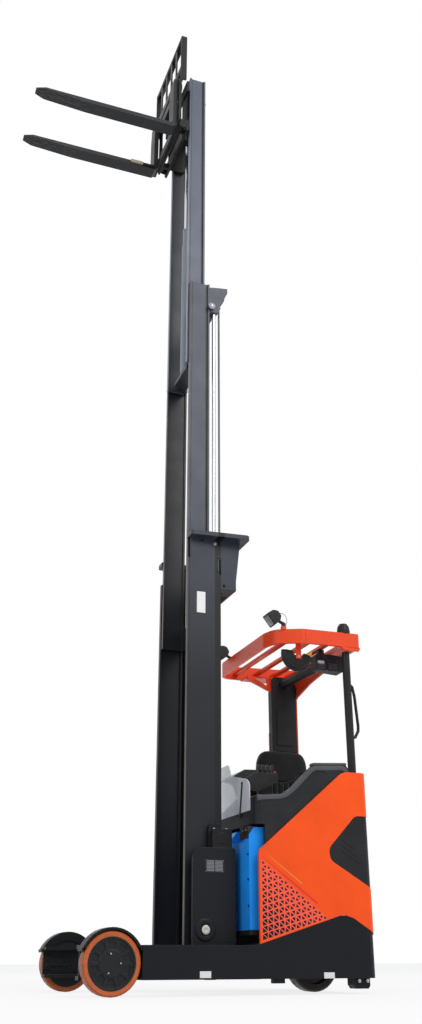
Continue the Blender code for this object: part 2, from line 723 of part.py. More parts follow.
def side_panels(look):
    """Orange skins on both sides; each wraps round its rear corner and has a window for the vent."""
    beyond = HALF_WIDTH + 0.070
    for name, side in SIDES:
        y_end = PANEL_NEAR_END_Y if side == NEAR else -REAR_PANEL_END_Y
        strip = plan_strip(0.0, PANEL_WALL, ORANGE_EDGE[-1][0] - 0.001, y_end)
        vent_strip = plan_strip(0.003, PANEL_WALL - 0.006, ORANGE_EDGE[-1][0] - 0.001, y_end)
        if side == FAR:
            strip = [(x, -y) for x, y in strip]
            vent_strip = [(x, -y) for x, y in vent_strip]
        panel = add(f"side_panel_{name}", prism(strip, "Z", 0.2, 1.5), look["orange"])
        work(panel, prism(rounded(ORANGE_EDGE), "Y", *ordered(side, 0.0, beyond)), "INTERSECT")
        window_y = HALF_WIDTH - VENT_DEPTH
        cut(panel, prism(rounded(VENT_EDGE), "Y", *ordered(side, window_y, beyond)))
        vent = add(f"vent_grille_{name}", prism(vent_strip, "Z", 0.5, 1.2), look["black_plastic"])
        outline = rounded(inset(VENT_EDGE, 2 * GAP))
        work(vent, prism(outline, "Y", *ordered(side, window_y + 2 * GAP, beyond)), "INTERSECT")
        slots = []
        for row in range(VENT_ROWS):
            for column in range(VENT_SLOTS - row):
                x = 1.500 + column * 0.020 + row * 0.004
                z = 0.830 + row * 0.034 - column * 0.012
                corners = [(x, z), (x + 0.014, z - 0.0084), (x + 0.014, z + 0.0006), (x, z + 0.009)]
                slots.append(prism(corners, "Y", *ordered(side, HALF_WIDTH - 0.030, beyond)))
        cut(vent, gathered(slots))


def rear_panel(look):
    """Rear wall behind the seat box, between the far panel and the operator's way in."""
    low = BELT_LINE[-1][1] + (BELT_LINE[-2][1] - BELT_LINE[-1][1]) * (1.800 - REAR_X + PANEL_WALL) / (1.800 - BELT_LINE[-2][0])
    wall = box(REAR_X - PANEL_WALL, REAR_X, ENTRY_Y, REAR_PANEL_END_Y - 0.0005, low + 2 * GAP, 1.300)
    add("rear_panel", wall, look["orange"])


def cowl(look):
    """Black moulded housing: near, front and far walls in one, open at the top, with a thick lip and a
    raised border round the flat of each side."""
    wall = COWL_WALL
    half = HALF_WIDTH - COWL_INSET
    front = COWL_FRONT_X
    rear = 1.700
    plan = rounded(
        [
            (rear, -half, 0),
            (front, -half, 0.045),
            (front, half, 0.045),
            (rear, half, 0),
            (rear, half - wall, 0),
            (front + wall, half - wall, 0),
            (front + wall, -half + wall, 0),
            (rear, -half + wall, 0),
        ],
        5,
    )
    shell = add("cowl", prism(plan, "Z", 0.7, 1.5), look["black_plastic"])
    beyond = HALF_WIDTH + 0.070
    work(shell, prism(rounded(COWL_EDGE), "Y", -beyond, beyond), "INTERSECT")
    reach = BATTERY_HALF_WIDTH + 0.008
    cut(shell, box(front - 0.027, front + 0.073, -reach, reach, 0.700, BATTERY_TOP_Z + 0.021))
    for side in (NEAR, FAR):
        cut(shell, prism(rounded(COWL_SUNK, 3), "Y", *ordered(side, half - 0.004, beyond)))
    front_dip = [(-0.520, 1.190), (-0.300, 1.152), (0.040, 1.102), (0.300, 1.102), (0.420, 1.152), (0.520, 1.190)]
    cut(shell, prism(front_dip, "X", front - 0.010, front + wall + 0.010))


def bulkhead(look):
    """Wall between battery and operator, with the cover over the battery in one piece."""
    top = BULKHEAD_TOP_Z
    base = DECK_Z + DECK_THICKNESS + GAP
    wall = 0.022
    front = COWL_FRONT_X + COWL_WALL + 2 * GAP
    outline = [
        (BATTERY_REAR_X + 0.010, base),
        (BATTERY_REAR_X + 0.010 + wall, base),
        (BATTERY_REAR_X + 0.010 + wall, top),
        (front, top),
        (front, top - wall),
        (BATTERY_REAR_X + 0.010, top - wall),
    ]
    reach = HALF_WIDTH - COWL_INSET - COWL_WALL - GAP
    add("bulkhead", prism(outline, "Y", -reach, reach), look["black_plastic"])


def operator_place(look):
    """Floor, the box that houses motor and pump under the seat, and the seat itself."""
    front = BATTERY_REAR_X + 0.008
    inner = HALF_WIDTH - CHASSIS_WALL - GAP
    rear = REAR_X - CHASSIS_WALL - GAP
    radius = CORNER_RADIUS - CHASSIS_WALL
    deck = rounded([(front, -inner, 0), (rear, -inner, radius), (rear, inner, radius), (front, inner, 0)], 5)
    add("cab_floor", prism(deck, "Z", DECK_Z, DECK_Z + DECK_THICKNESS), look["black_paint"])
    wall = 0.008
    x0, x1 = BATTERY_REAR_X + 0.034, REAR_X - CORNER_RADIUS
    y0, y1 = ENTRY_Y, inner
    base, top = DECK_Z + DECK_THICKNESS + GAP, SEAT_BOX_TOP_Z
    corners = [(x0, y0, 0.030), (x1, y0, 0.030), (x1, y1, 0), (x0, y1, 0)]
    seat_box = add("seat_box", prism(rounded(corners, 3), "Z", base, top), look["black_plastic"])
    cut(seat_box, prism(rounded(inset(corners, wall), 3), "Z", base - 0.010, top - wall))
    half = SEAT_WIDTH / 2
    seat_z = top + 0.020
    cushion = rounded(
        [
            (-0.175, seat_z + GAP, 0.030),
            (0.235, seat_z + GAP, 0.020),
            (0.235, seat_z + 0.105, 0.030),
            (0.060, seat_z + 0.110, 0.060),
            (-0.175, seat_z + 0.130, 0.055),
        ]
    )
    add("seat_cushion", prism(cushion, "X", SEAT_X - half, SEAT_X + half), look["fabric"])
    back = rounded(
        [
            (SEAT_X - half + 0.020, seat_z + 0.125, 0.050),
            (SEAT_X + half - 0.020, seat_z + 0.125, 0.050),
            (SEAT_X + half + 0.018, seat_z + 0.500, 0.100),
            (SEAT_X + half - 0.030, SEAT_TOP_Z, 0.080),
            (SEAT_X - half + 0.045, SEAT_TOP_Z, 0.080),
            (SEAT_X - half, seat_z + 0.530, 0.100),
        ]
    )
    add("seat_back", prism(back, "Y", SEAT_BACK_Y, SEAT_BACK_Y + 0.092), look["fabric"])
    bracket_y = SEAT_BACK_Y + 0.092 + GAP
    bracket = box(SEAT_X - 0.120, SEAT_X + 0.120, bracket_y, bracket_y + 0.020, seat_z - 0.010, 1.300)
    shell = add("seat_frame", bracket, look["black_plastic"])
    pan = box(SEAT_X - half + 0.030, SEAT_X + half - 0.030, -0.150, bracket_y + 0.019, top + GAP, seat_z)
    join(shell, pan)


def pillar(look):
    """Orange box pillar behind the seat, with a head plate out to the guard's rail, a windowed front
    brace, the gusset that runs along the guard's rear end and a black moulded lining."""
    x0, x1 = PILLAR_X
    y0, y1 = PILLAR_Y
    top = GUARD_TOP_Z - GUARD_RAIL_HEIGHT - GAP
    base = SEAT_BOX_TOP_Z + GAP
    post = add("guard_pillar", box(x0, x1, y0, y1, base, top), look["orange"])
    wall = PILLAR_WALL
    cut(post, box(x0 + wall, x1 - wall, y0 + wall, y1 - wall, base - 0.010, top - wall))
    brace = [
        (x0 + 0.002, top),
        (x0 - 0.190, top),
        (x0 - 0.190, top - 0.030),
        (x0 + 0.002, top - 0.112),
    ]
    join(post, prism(brace, "Y", y1 - 0.024, y1 - 0.001))
    window = [(x0 - 0.020, top - 0.012), (x0 - 0.140, top - 0.012), (x0 - 0.020, top - 0.070)]
    cut(post, prism(window, "Y", y1 - 0.034, y1 + 0.010))
    join(post, box(x0 - 0.185, GUARD_REAR_X - 0.002, y1 - 0.024, HALF_WIDTH - 0.032, top - 0.008, top))
    gusset = rounded(
        [
            (y1 - 0.002, top, 0),
            (y1 - 0.002, top - 0.320, 0.020),
            (y0 + 0.020, top - 0.170, 0.080),
            (y0 - 0.270, top - 0.105, 0.060),
            (y0 - 0.560, top - 0.070, 0.030),
            (y0 - 0.610, top, 0),
        ]
    )
    join(post, prism(gusset, "X", x1 - 0.002, x1 + 0.012))
    flange_y = (y0 - 0.600, y1 - 0.030)
    join(post, box(x1 + 0.002, GUARD_REAR_X - 0.002, *flange_y, top - 0.008, top))
    panel = rounded(
        [
            (x0 + 0.006, 1.655, 0.008),
            (x1 - 0.008, 1.655, 0.008),
            (x1 - 0.014, 2.060, 0.010),
            (x1 - 0.004, 2.090, 0.010),
            (x1 - 0.004, 2.160, 0.020),
            (x1 - 0.026, 2.195, 0.010),
            (x1 - 0.030, top - 0.006, 0.010),
            (x0 + 0.012, top - 0.006, 0.010),
            (x0 + 0.004, top - 0.030, 0.010),
            (x0 + 0.004, 2.100, 0.010),
            (x0 + 0.012, 2.070, 0.010),
        ]
    )
    cover = add("pillar_lining", prism(panel, "Y", y0 - 0.030, y0 - GAP), look["black_plastic"])
    join(cover, box(x0 - 0.010, x0 - GAP, y0 - 0.029, y1 - 0.012, 1.340, top - 0.118))
    join(cover, box(x0 - 0.010, x0 + 0.030, y0 - 0.029, y0 - 0.006, 1.340, top - 0.118))
    raised = rounded([(x0 + 0.030, 1.700, 0.012), (x1 - 0.034, 1.700, 0.012), (x1 - 0.038, 1.985, 0.014), (x0 + 0.034, 1.985, 0.014)])
    join(cover, prism(raised, "Y", y0 - 0.038, y0 - 0.020))
    lower = [(x0 + 0.014, 1.300), (x1 - 0.012, 1.300), (x1 - 0.012, 1.660), (x0 + 0.014, 1.660)]
    join(cover, prism(lower, "Y", y0 - 0.010, y0 - GAP))


def overhead_guard(look):
    """A closed band with flat bars across it; its near rear end is deeper where the post meets it, and
    the mirror's strap hangs inside the near rail."""
    low, high = GUARD_TOP_Z - GUARD_RAIL_HEIGHT, GUARD_TOP_Z
    guard = add("overhead_guard", prism(rounded(GUARD_PLAN, 6), "Z", low, high), look["orange"])
    inside = rounded(inset(GUARD_PLAN, GUARD_RAIL_WALL), 6)
    cut(guard, prism(inside, "Z", low - 0.010, high + 0.010))
    bar_z = (low + 0.030, low + 0.050)
    for x in GUARD_SLATS:
        join(guard, box(x - 0.020, x + 0.020, -0.500 + 0.100 * (x < 1.3), HALF_WIDTH - 0.045, *bar_z))
    deeper = rounded(
        [
            (POST_X - 0.062, low + 0.002, 0),
            (POST_X - 0.040, low - 0.024, 0.008),
            (GUARD_REAR_X - 0.010, low - 0.024, 0.010),
            (GUARD_REAR_X - 0.001, low + 0.002, 0),
        ],
        2,
    )
    skirt_y = GUARD_PLAN[0][1] + 0.004
    join(guard, prism(deeper, "Y", skirt_y, skirt_y + 0.014))
    for name, x, y, base, lean in LAMPS:
        reach = (x - 0.016, x + 0.016) if name == "near" else (1.121, x + 0.016)
        join(guard, box(*reach, y - 0.015, y + 0.015, min(base, high) - 0.004, base))
    strap_y = MIRROR_Y - 0.020
    join(guard, box(MIRROR_X - 0.020, MIRROR_X + 0.020, strap_y, strap_y + 0.006, MIRROR_Z - 0.015, low + 0.046))
    join(guard, box(MIRROR_X - 0.020, MIRROR_X + 0.020, -0.535, strap_y + 0.006, low + 0.040, low + 0.046))


def guard_post(look):
    """Round post from the near panel up to the guard, with its clamp foot and a grab handle at the rear."""
    top = GUARD_TOP_Z - GUARD_RAIL_HEIGHT - 0.024 - GAP
    post = add("guard_post", rod("Z", (POST_X, POST_Y), POST_RADIUS, 1.300, top, 20), look["black_paint"], smooth=40)
    foot = rounded(
        [
            (POST_X - 0.045, POST_Y - 0.045, 0.010),
            (REAR_X - PANEL_WALL - GAP, POST_Y - 0.045, 0),
            (REAR_X - PANEL_WALL - GAP, POST_Y + 0.045, 0),
            (POST_X - 0.045, POST_Y + 0.045, 0.010),
        ],
        2,
    )
    join(post, prism(foot, "Z", 1.296, 1.356))
    bent = [(0.010, 1.990), (0.038, 1.965), (0.052, 1.900), (0.068, 1.690), (0.066, 1.655), (0.042, 1.612), (0.010, 1.600)]
    join(post, tube([(POST_X + out, POST_Y, z) for out, z in bent], 0.011, 8))


def guard_fittings(look):
    """Beacon, two work lamps, half-round mirror, and the box with its trunking under the guard."""
    top = GUARD_TOP_Z + GAP
    dome = [(0, top), (0.048, top), (0.048, top + 0.022), (0.043, top + 0.052), (0.030, top + 0.074), (0, top + 0.082)]
    add("beacon", turned(dome, "Z", (POST_X - 0.018, POST_Y - 0.020), 20), look["black_plastic"], smooth=40)
    side_view = rounded(
        [
            (-0.052, -0.050, 0.010),
            (0.000, -0.046, 0.018),
            (0.030, -0.022, 0.024),
            (0.030, 0.022, 0.024),
            (0.000, 0.046, 0.018),
            (-0.052, 0.050, 0.010),
        ]
    )
    for name, x, y, base, lean in LAMPS:
        housing = prism(side_view, "Y", -0.045, 0.045)
        turn = Matrix.Translation((x - 0.070, y, base + 0.066)) @ Matrix.Rotation(math.radians(-lean), 4, "Y")
        bmesh.ops.transform(housing, matrix=turn, verts=housing.verts)
        lamp = add(f"work_lamp_{name}", housing, look["black_plastic"])
        neck = [(x - 0.056, y, base + 0.054), (x - 0.026, y, base + 0.032), (x, y, base + 0.022)]
        join(lamp, tube(neck, 0.012, 8))
        join(lamp, box(x - 0.012, x + 0.012, y - 0.012, y + 0.012, base + GAP, base + 0.026))
    middle = (MIRROR_X, MIRROR_Z + 0.020)
    face = MIRROR_Y + 0.028
    back = MIRROR_Y - 0.014 + GAP
    dish = [(0, back), (0.030, back), (0.090, back + 0.012), (MIRROR_RADIUS, face - 0.006), (MIRROR_RADIUS, face), (0, face)]
    mirror = add("mirror", turned(dish, "Y", middle, 28), look["black_plastic"], smooth=40)
    lift = math.radians(9)
    above = [(-0.160, 0.016), (-0.045, 0.016), (-0.030, -0.012), (0.030, -0.012), (0.045, 0.016), (0.160, 0.016), (0.160, 0.2), (-0.160, 0.2)]
    corners = []
    for a, b in above:
        across, up = a * math.cos(lift) + b * math.sin(lift), b * math.cos(lift) - a * math.sin(lift)
        corners.append((middle[0] + across, middle[1] + up))
    cut(mirror, prism(corners, "Y", back - 0.010, face + 0.010))
    bar_low = GUARD_TOP_Z - GUARD_RAIL_HEIGHT + 0.030 - GAP
    case = rounded(
        [
            (1.520, 2.118, 0.015),
            (1.735, 2.104, 0.015),
            (1.742, 2.180, 0.015),
            (1.735, 2.226, 0.020),
            (1.520, 2.232, 0.015),
        ]
    )
    radio = add("radio_box", prism(case, "Y", -0.360, -0.262), look["black_plastic"])
    join(radio, box(1.555, 1.600, -0.330, -0.290, 2.220, bar_low))
    trunk = [(1.630, -0.270, 2.185), (1.630, -0.180, 2.190), (1.585, 0.385, 2.178)]
    join(radio, tube(trunk, 0.036, 8))


def armrest(look):
    """Bowl-shaped control console before the seat with four levers, its post and the sloping tray
    beside it."""
    body = rounded(
        [
            (1.036, 1.348, 0.004),
            (1.068, 1.322, 0.010),
            (1.079, 1.257, 0.020),
            (1.132, 1.262, 0.030),
            (1.190, 1.288, 0.080),
            (1.266, 1.322, 0.030),
            (1.284, 1.348, 0.020),
            (1.284, 1.378, 0.014),
            (1.258, 1.393, 0.012),
            (1.109, 1.386, 0.014),
        ],
        3,
    )
    console = add("armrest_console", prism(body, "Y", -0.150, 0.150), look["black_plastic"])
    tray = [(0.960, 1.362), (0.960, 1.350), (1.090, 1.340), (1.130, 1.380), (1.115, 1.407), (1.031, 1.404)]
    join(console, prism(tray, "Y", -0.146, 0.120))
    for i in range(LEVERS):
        x = 1.152 + i * 0.035
        join(console, box(x - 0.004, x + 0.004, -0.108, -0.100, 1.380, 1.426))
        knob = rounded([(x - 0.011, 1.414, 0.003), (x + 0.011, 1.414, 0.003), (x + 0.012, 1.449, 0.006), (x - 0.012, 1.449, 0.006)], 1)
        join(console, prism(knob, "Y", -0.112, -0.094))
    top = BULKHEAD_TOP_Z + GAP
    join(console, box(1.100, 1.175, 0.060, 0.140, top, 1.290))


def front_shield(look):
    corners = [
        (-0.510, 1.080, 0.01),
        (-0.510, 1.254, 0.05),
        (-0.457, 1.287, 0.02),
        (-0.182, 1.345, 0.03),
        (-0.126, 1.432, 0.04),
        (0.300, 1.432, 0.04),
        (0.300, 1.080, 0.01),
    ]
    rear = COWL_FRONT_X - GAP
    add("front_shield", prism(rounded(corners), "X", rear - 0.006, rear), look["clear"])


def steering_wheel(look):
    """Small wheel with a spinner knob on its column, near the near wall at the operator's left hand."""
    x, y = STEERING_AT
    z = 1.265
    column = rod("Z", (x, y), 0.024, DECK_Z + DECK_THICKNESS + GAP, z - 0.006)
    add("steering_column", column, look["black_plastic"], smooth=40)
    rim = [(0.112, z), (0.122, z - 0.006), (0.134, z), (0.134, z + 0.014), (0.122, z + 0.020), (0.112, z + 0.014)]
    wheel = add("steering_wheel", turned(rim, "Z", (x, y), 20), look["black_plastic"], smooth=40)
    join(wheel, rod("Z", (x, y), 0.036, z - 0.006 + GAP, z + 0.012))
    for turn in (90, 210, 330):
        end = (x + 0.118 * math.cos(math.radians(turn)), y + 0.118 * math.sin(math.radians(turn)))
        join(wheel, tube([(x, y, z + 0.004), (*end, z + 0.007)], 0.007, 6))
    knob = (x + 0.123 * math.cos(math.radians(60)), y + 0.123 * math.sin(math.radians(60)))
    join(wheel, rod("Z", knob, 0.016, z + 0.010, z + 0.045, 12))


# Mast


def rail_outline(stage, side, shield=None):
    """Cross-section of one rail in plan, as (X, Y): a channel or an I with flanges toward the middle."""
    front, rear, face = stage["front"], stage["rear"], stage["face"]
    tip = face - stage["depth"]
    flange = RAIL_FLANGE
    if shield:
        web = face - OUTER_WEB
        half = [(front, face), (shield, face), (shield, web), (rear, web), (rear, tip), (rear - flange, tip)]
        half += [(rear - flange, web), (front + flange, web), (front + flange, tip), (front, tip)]
    else:
        web = face - stage["recess"]
        half = [(front, face), (front + flange, face), (front + flange, web), (rear - flange, web)]
        half += [(rear - flange, face), (rear, face), (rear, tip), (rear - flange, tip)]
        half += [(rear - flange, web - RAIL_WEB), (front + flange, web - RAIL_WEB)]
        half += [(front + flange, tip), (front, tip)]
    return [(x, side * y) for x, y in half]


def channel_of(stage):
    """Middle and half width of the space between a rail's flanges."""
    middle = (stage["front"] + stage["rear"]) / 2
    return middle, (stage["rear"] - stage["front"]) / 2 - RAIL_FLANGE


def roller(stage, side, from_y, to_y, z):
    """A guide roller that fits between the flanges of the given stage's rail."""
    middle, half = channel_of(stage)
    low, high = sorted((side * from_y, side * to_y))
    return rod("Y", (middle, z), half - ROLLER_SIDE_GAP, low, high, 14)


def web_faces(stage):
    """Outboard and inboard faces of a rail's web."""
    if stage is OUTER:
        return stage["face"], stage["face"] - OUTER_WEB
    outboard = stage["face"] - stage["recess"]
    return outboard, outboard - RAIL_WEB


def outer_mast(look):
    carrier("reach_axis", (OUTER["rear"], 0.0, REACH_Z), "truck")
    stage = OUTER
    mast = None
    for side in (NEAR, FAR):
        rail = prism(rail_outline(stage, side, SHIELD_REAR_X), "Z", stage["bottom"], stage["top"])
        if mast is None:
            mast = add("outer_mast", rail, look["frame"], "reach_axis")
        else:
            join(mast, rail)
    face, web = stage["face"], stage["face"] - OUTER_WEB
    crown = stage["top"]
    back = CROWN_REAR_X
    plate_low, plate_high = crown - 0.030, crown + 0.002
    plan = rounded(
        [
            (0.534, -0.406, 0.010),
            (back, -0.440, 0.030),
            (back, 0.440, 0.030),
            (0.534, 0.406, 0.010),
            (0.534, 0.306, 0),
            (back - 0.100, 0.306, 0.010),
            (back - 0.100, -0.306, 0.010),
            (0.534, -0.306, 0),
        ]
    )
    join(mast, prism(plan, "Z", plate_low, plate_high))
    cut(mast, box(0.500, 0.551, -0.390, 0.390, 2.862, plate_low))
    join(mast, box(back - 0.095, back - 0.080, -face + 0.002, face - 0.002, FLANGE_Z, crown - 0.01))
    web_outline = [(SHIELD_REAR_X - 0.03, FLANGE_Z + 0.001), (back - 0.088, FLANGE_Z + 0.001),
                   (back - 0.045, plate_low + 0.01), (SHIELD_REAR_X - 0.03, plate_low + 0.01)]
    for side in (NEAR, FAR):
        low, high = sorted((side * (web + 0.001), side * (face - 0.001)))
        join(mast, prism(web_outline, "Y", low, high))
        low, high = sorted((side * 0.205, side * (face - 0.003)))
        join(mast, box(OUTER["rear"] + 0.004, back - 0.085, low, high, FLANGE_Z - 0.002, FLANGE_Z + 0.022))
        cut(mast, rod("Z", (LIFT_X, side * LIFT_Y), LIFT_BARREL_RADIUS + GAP, FLANGE_Z - 0.1, FLANGE_Z + 0.1, 24))
        low, high = sorted((side * (CHAIN_Y - 0.017), side * (CHAIN_Y + 0.017)))
        strand = LIFT_X + CHAIN_RADIUS
        cut(mast, box(strand - 0.018, strand + 0.018, low, high, FLANGE_Z - 0.1, FLANGE_Z + 0.1))
        cut(mast, box(0.759, 0.789, side * 0.333 - 0.02, side * 0.333 + 0.02, 2.750, 2.880))
        low, high = sorted((side * 0.236, side * (web + 0.002)))
        join(mast, box(MIDDLE["rear"] + 0.0195, SHIELD_REAR_X - 0.002, low, high, 0.086, 0.095))
        middle_web = web_faces(MIDDLE)[0]
        join(mast, roller(MIDDLE, side, middle_web + RUNNING_GAP, web + 0.004, crown - 0.100))
    return mast


def lift_cylinders(look):
    bore = LIFT_ROD_RADIUS + 0.0005
    base = 0.095 + GAP
    for name, side in SIDES:
        barrel = [(0, base), (LIFT_BARREL_RADIUS, base), (LIFT_BARREL_RADIUS, LIFT_BARREL_TOP_Z),
                  (bore, LIFT_BARREL_TOP_Z), (bore, base + 0.05), (0, base + 0.05)]
        middle = (LIFT_X, side * LIFT_Y)
        add(f"lift_barrel_{name}", turned(barrel, "Z", middle), look["black_paint"], "reach_axis", 40)
        piston = rod("Z", middle, LIFT_ROD_RADIUS, LIFT_BARREL_TOP_Z - 0.200, 5.080 - GAP)
        add(f"lift_rod_{name}", piston, look["chrome"], "middle_stage_axis", 40)


def pinned_wheel(centre, radius, pin, places):
    """A chain wheel in one with its pin; the four places along Y are pin end, wheel, wheel, pin end."""
    start, first, last, end = places
    profile = [(0, start), (pin, start), (pin, first), (radius, first)]
    profile += [(radius, last), (pin, last), (pin, end), (0, end)]
    return turned(profile, "Y", centre, 20)


def middle_mast(look):
    carrier("middle_stage_axis", (MIDDLE["rear"], 0.0, MIDDLE["bottom"]), "reach_axis")
    stage = MIDDLE
    mast = None
    for side in (NEAR, FAR):
        rail = prism(rail_outline(stage, side), "Z", stage["bottom"], stage["top"])
        if mast is None:
            mast = add("middle_mast", rail, look["frame"], "middle_stage_axis")
        else:
            join(mast, rail)
    cross_x = (stage["rear"] - 0.0005, stage["rear"] + 0.0125)
    join(mast, box(*cross_x, -0.298, 0.298, stage["bottom"] + 0.001, stage["bottom"] + 0.160))
    join(mast, box(0.832, 0.866, -0.230, 0.230, 5.275, 5.340))
    outboard, inboard = web_faces(stage)
    for side in (NEAR, FAR):
        low, high = sorted((side * 0.205, side * 0.299))
        join(mast, prism(HEAD_PROFILE, "Y", low, high))
        slot = CHAIN_WIDTH / 2 + 0.004
        low, high = sorted((side * (CHAIN_Y - slot), side * (CHAIN_Y + slot)))
        cut(mast, box(0.690, 0.829, low, high, 5.0, 5.262))
        wheel = CHAIN_RADIUS - CHAIN_THICKNESS / 2 - 0.0005
        places = (low - 0.010, low + 0.004, high - 0.004, high + 0.010)
        join(mast, pinned_wheel((LIFT_X, SHEAVE_Z), wheel, 0.014, places))
        join(mast, roller(OUTER, side, outboard - 0.002, web_faces(OUTER)[1] - RUNNING_GAP, stage["bottom"] + 0.100))
        join(mast, roller(INNER, side, web_faces(INNER)[0] + RUNNING_GAP, inboard + 0.002, stage["top"] - 0.090))
    return mast


def chain_outline(x_front, x_rear, z_wheel, front_low, rear_low):
    """Side view of a chain that hangs over a wheel: two straight strands and a half turn."""
    centre = (x_front + x_rear) / 2
    radius = (x_rear - x_front) / 2
    half = CHAIN_THICKNESS / 2
    outer = [(x_front - half, front_low)] + arc(centre, z_wheel, radius + half, 180, 0, 12)
    outer += [(x_rear + half, rear_low)]
    inner = [(x_rear - half, rear_low)] + arc(centre, z_wheel, radius - half, 0, 180, 12)
    inner += [(x_front + half, front_low)]
    return outer + inner


def lift_chains(look):
    for name, side in SIDES:
        low, high = sorted((side * (CHAIN_Y - CHAIN_WIDTH / 2), side * (CHAIN_Y + CHAIN_WIDTH / 2)))
        outline = chain_outline(LIFT_X - CHAIN_RADIUS, LIFT_X + CHAIN_RADIUS, SHEAVE_Z, 4.640, FLANGE_Z + 0.030)
        add(f"lift_chain_{name}", prism(outline, "Y", low, high), look["chain"], "middle_stage_axis")


def inner_mast(look):
    carrier("inner_stage_axis", (INNER["rear"], 0.0, INNER["bottom"]), "middle_stage_axis")
    stage = INNER
    mast = None
    for side in (NEAR, FAR):
        rail = prism(rail_outline(stage, side), "Z", stage["bottom"], stage["top"])
        if mast is None:
            mast = add("inner_mast", rail, look["frame"], "inner_stage_axis")
        else:
            join(mast, rail)
    outboard = web_faces(stage)[0]
    brace = [(0.660, 7.300), (0.675, 7.290), (0.704, 7.480), (0.675, 7.660), (0.660, 7.660)]
    join(mast, prism(brace, "Y", -0.195, 0.195))
    for z0, z1 in ((4.582, 4.760), (7.300, 7.660)):
        join(mast, box(0.658, 0.674, -0.240, 0.240, z0, z1))
    shelf = box(0.560, 0.665, -0.160, 0.160, FREE_BARREL_BOTTOM_Z - 0.034, FREE_BARREL_BOTTOM_Z - GAP)
    join(mast, shelf)
    for side in (NEAR, FAR):
        join(mast, roller(MIDDLE, side, outboard - 0.002, web_faces(MIDDLE)[1] - RUNNING_GAP, stage["bottom"] + 0.100))
        low, high = sorted((side * 0.234, side * 0.256))
        join(mast, box(0.670, 0.7035, low, high, 4.600, 4.640 - GAP))
    return mast


def free_lift(look):
    carrier("free_lift_axis", (FREE_X, 0.0, FREE_ROD_TOP_Z), "inner_stage_axis")
    bore = FREE_ROD_RADIUS + 0.0005
    base, top = FREE_BARREL_BOTTOM_Z, FREE_BARREL_TOP_Z
    barrel = [(0, base), (FREE_BARREL_RADIUS, base), (FREE_BARREL_RADIUS, top - 0.18),
              (FREE_BARREL_RADIUS - 0.006, top - 0.17), (FREE_BARREL_RADIUS - 0.006, top),
              (bore, top), (bore, base + 0.05), (0, base + 0.05)]
    middle = (FREE_X, 0.0)
    add("free_lift_barrel", turned(barrel, "Z", middle, 20), look["frame"], "inner_stage_axis", 40)
    piston = rod("Z", middle, FREE_ROD_RADIUS, top - 0.150, FREE_ROD_TOP_Z - GAP)
    add("free_lift_rod", piston, look["chrome"], "free_lift_axis", 40)
    z = FREE_ROD_TOP_Z
    head = add("free_lift_crosshead", box(FREE_X - 0.025, FREE_X + 0.025, -0.045, 0.045, z, z + 0.060),
               look["black_paint"], "free_lift_axis")
    wheel_z = z + 0.035
    for side in (NEAR, FAR):
        places = sorted((side * 0.030, side * 0.062, side * 0.088, side * 0.098))
        join(head, pinned_wheel((FREE_X, wheel_z), FREE_WHEEL_RADIUS, 0.012, places))
    reach = FREE_WHEEL_RADIUS + CHAIN_THICKNESS / 2 + 0.0005
    outline = chain_outline(FREE_X - reach, FREE_X + reach, wheel_z, FREE_CHAIN_FRONT_Z, FREE_BARREL_TOP_Z)
    for name, side in SIDES:
        low, high = sorted((side * 0.066, side * 0.084))
        add(f"free_lift_chain_{name}", prism(outline, "Y", low, high), look["chain"], "free_lift_axis")


# Fork carriage


def fork_carriage(look):
    """Two side plates with rollers, two bars, the chain anchor between them and the lugs of the tilt hinge."""
    carrier("carriage_axis", (INNER["front"], 0.0, FORK_UNDERSIDE_Z), "inner_stage_axis")
    base = FORK_UNDERSIDE_Z
    front = CARRIAGE_FRONT_X
    side_outline = rounded(
        [
            (front - 0.002, base + 0.020, 0.01),
            (0.640, base + 0.020, 0.04),
            (0.650, base + 0.500, 0.06),
            (0.600, base + 0.620, 0.06),
            (front - 0.002, base + 0.620, 0.02),
        ]
    )
    frame = None
    for side in (NEAR, FAR):
        low, high = sorted((side * 0.200, side * 0.216))
        plate = prism(side_outline, "Y", low, high)
        if frame is None:
            frame = add("fork_carriage", plate, look["black_paint"], "carriage_axis")
        else:
            join(frame, plate)
        inboard = web_faces(INNER)[1]
        for z in (base + 0.080, base + 0.500):
            join(frame, roller(INNER, side, 0.214, inboard - RUNNING_GAP, z))
    half = 0.325
    join(frame, box(front, front + 0.022, -half, half, base + 0.022, base + 0.140))
    join(frame, box(front, front + 0.022, -half, half, base + 0.500, base + 0.618))
    anchor = FREE_CHAIN_FRONT_Z - GAP
    strand = FREE_X - FREE_WHEEL_RADIUS
    join(frame, box(strand - 0.030, strand - 0.003, -0.202, 0.202, anchor - 0.060, anchor))
    hinge_z = base + TILT_HEIGHT
    lug = rounded(
        [
            (front + 0.002, hinge_z - 0.030, 0),
            (front + 0.002, hinge_z + 0.030, 0),
            (TILT_X - 0.015, hinge_z + 0.024, 0.008),
            (TILT_X - 0.015, hinge_z - 0.024, 0.008),
        ]
    )
    for side in (NEAR, FAR):
        for y in TILT_LUG_Y:
            low, high = sorted((side * y, side * (y + TILT_LUG_WIDTH)))
            join(frame, prism(lug, "Y", low, high))
        low, high = sorted((side * (TILT_LUG_Y[0] + 0.002), side * (TILT_LUG_Y[1] + TILT_LUG_WIDTH - 0.002)))
        join(frame, rod("Y", (TILT_X, hinge_z), TILT_PIN_RADIUS, low, high, 20))


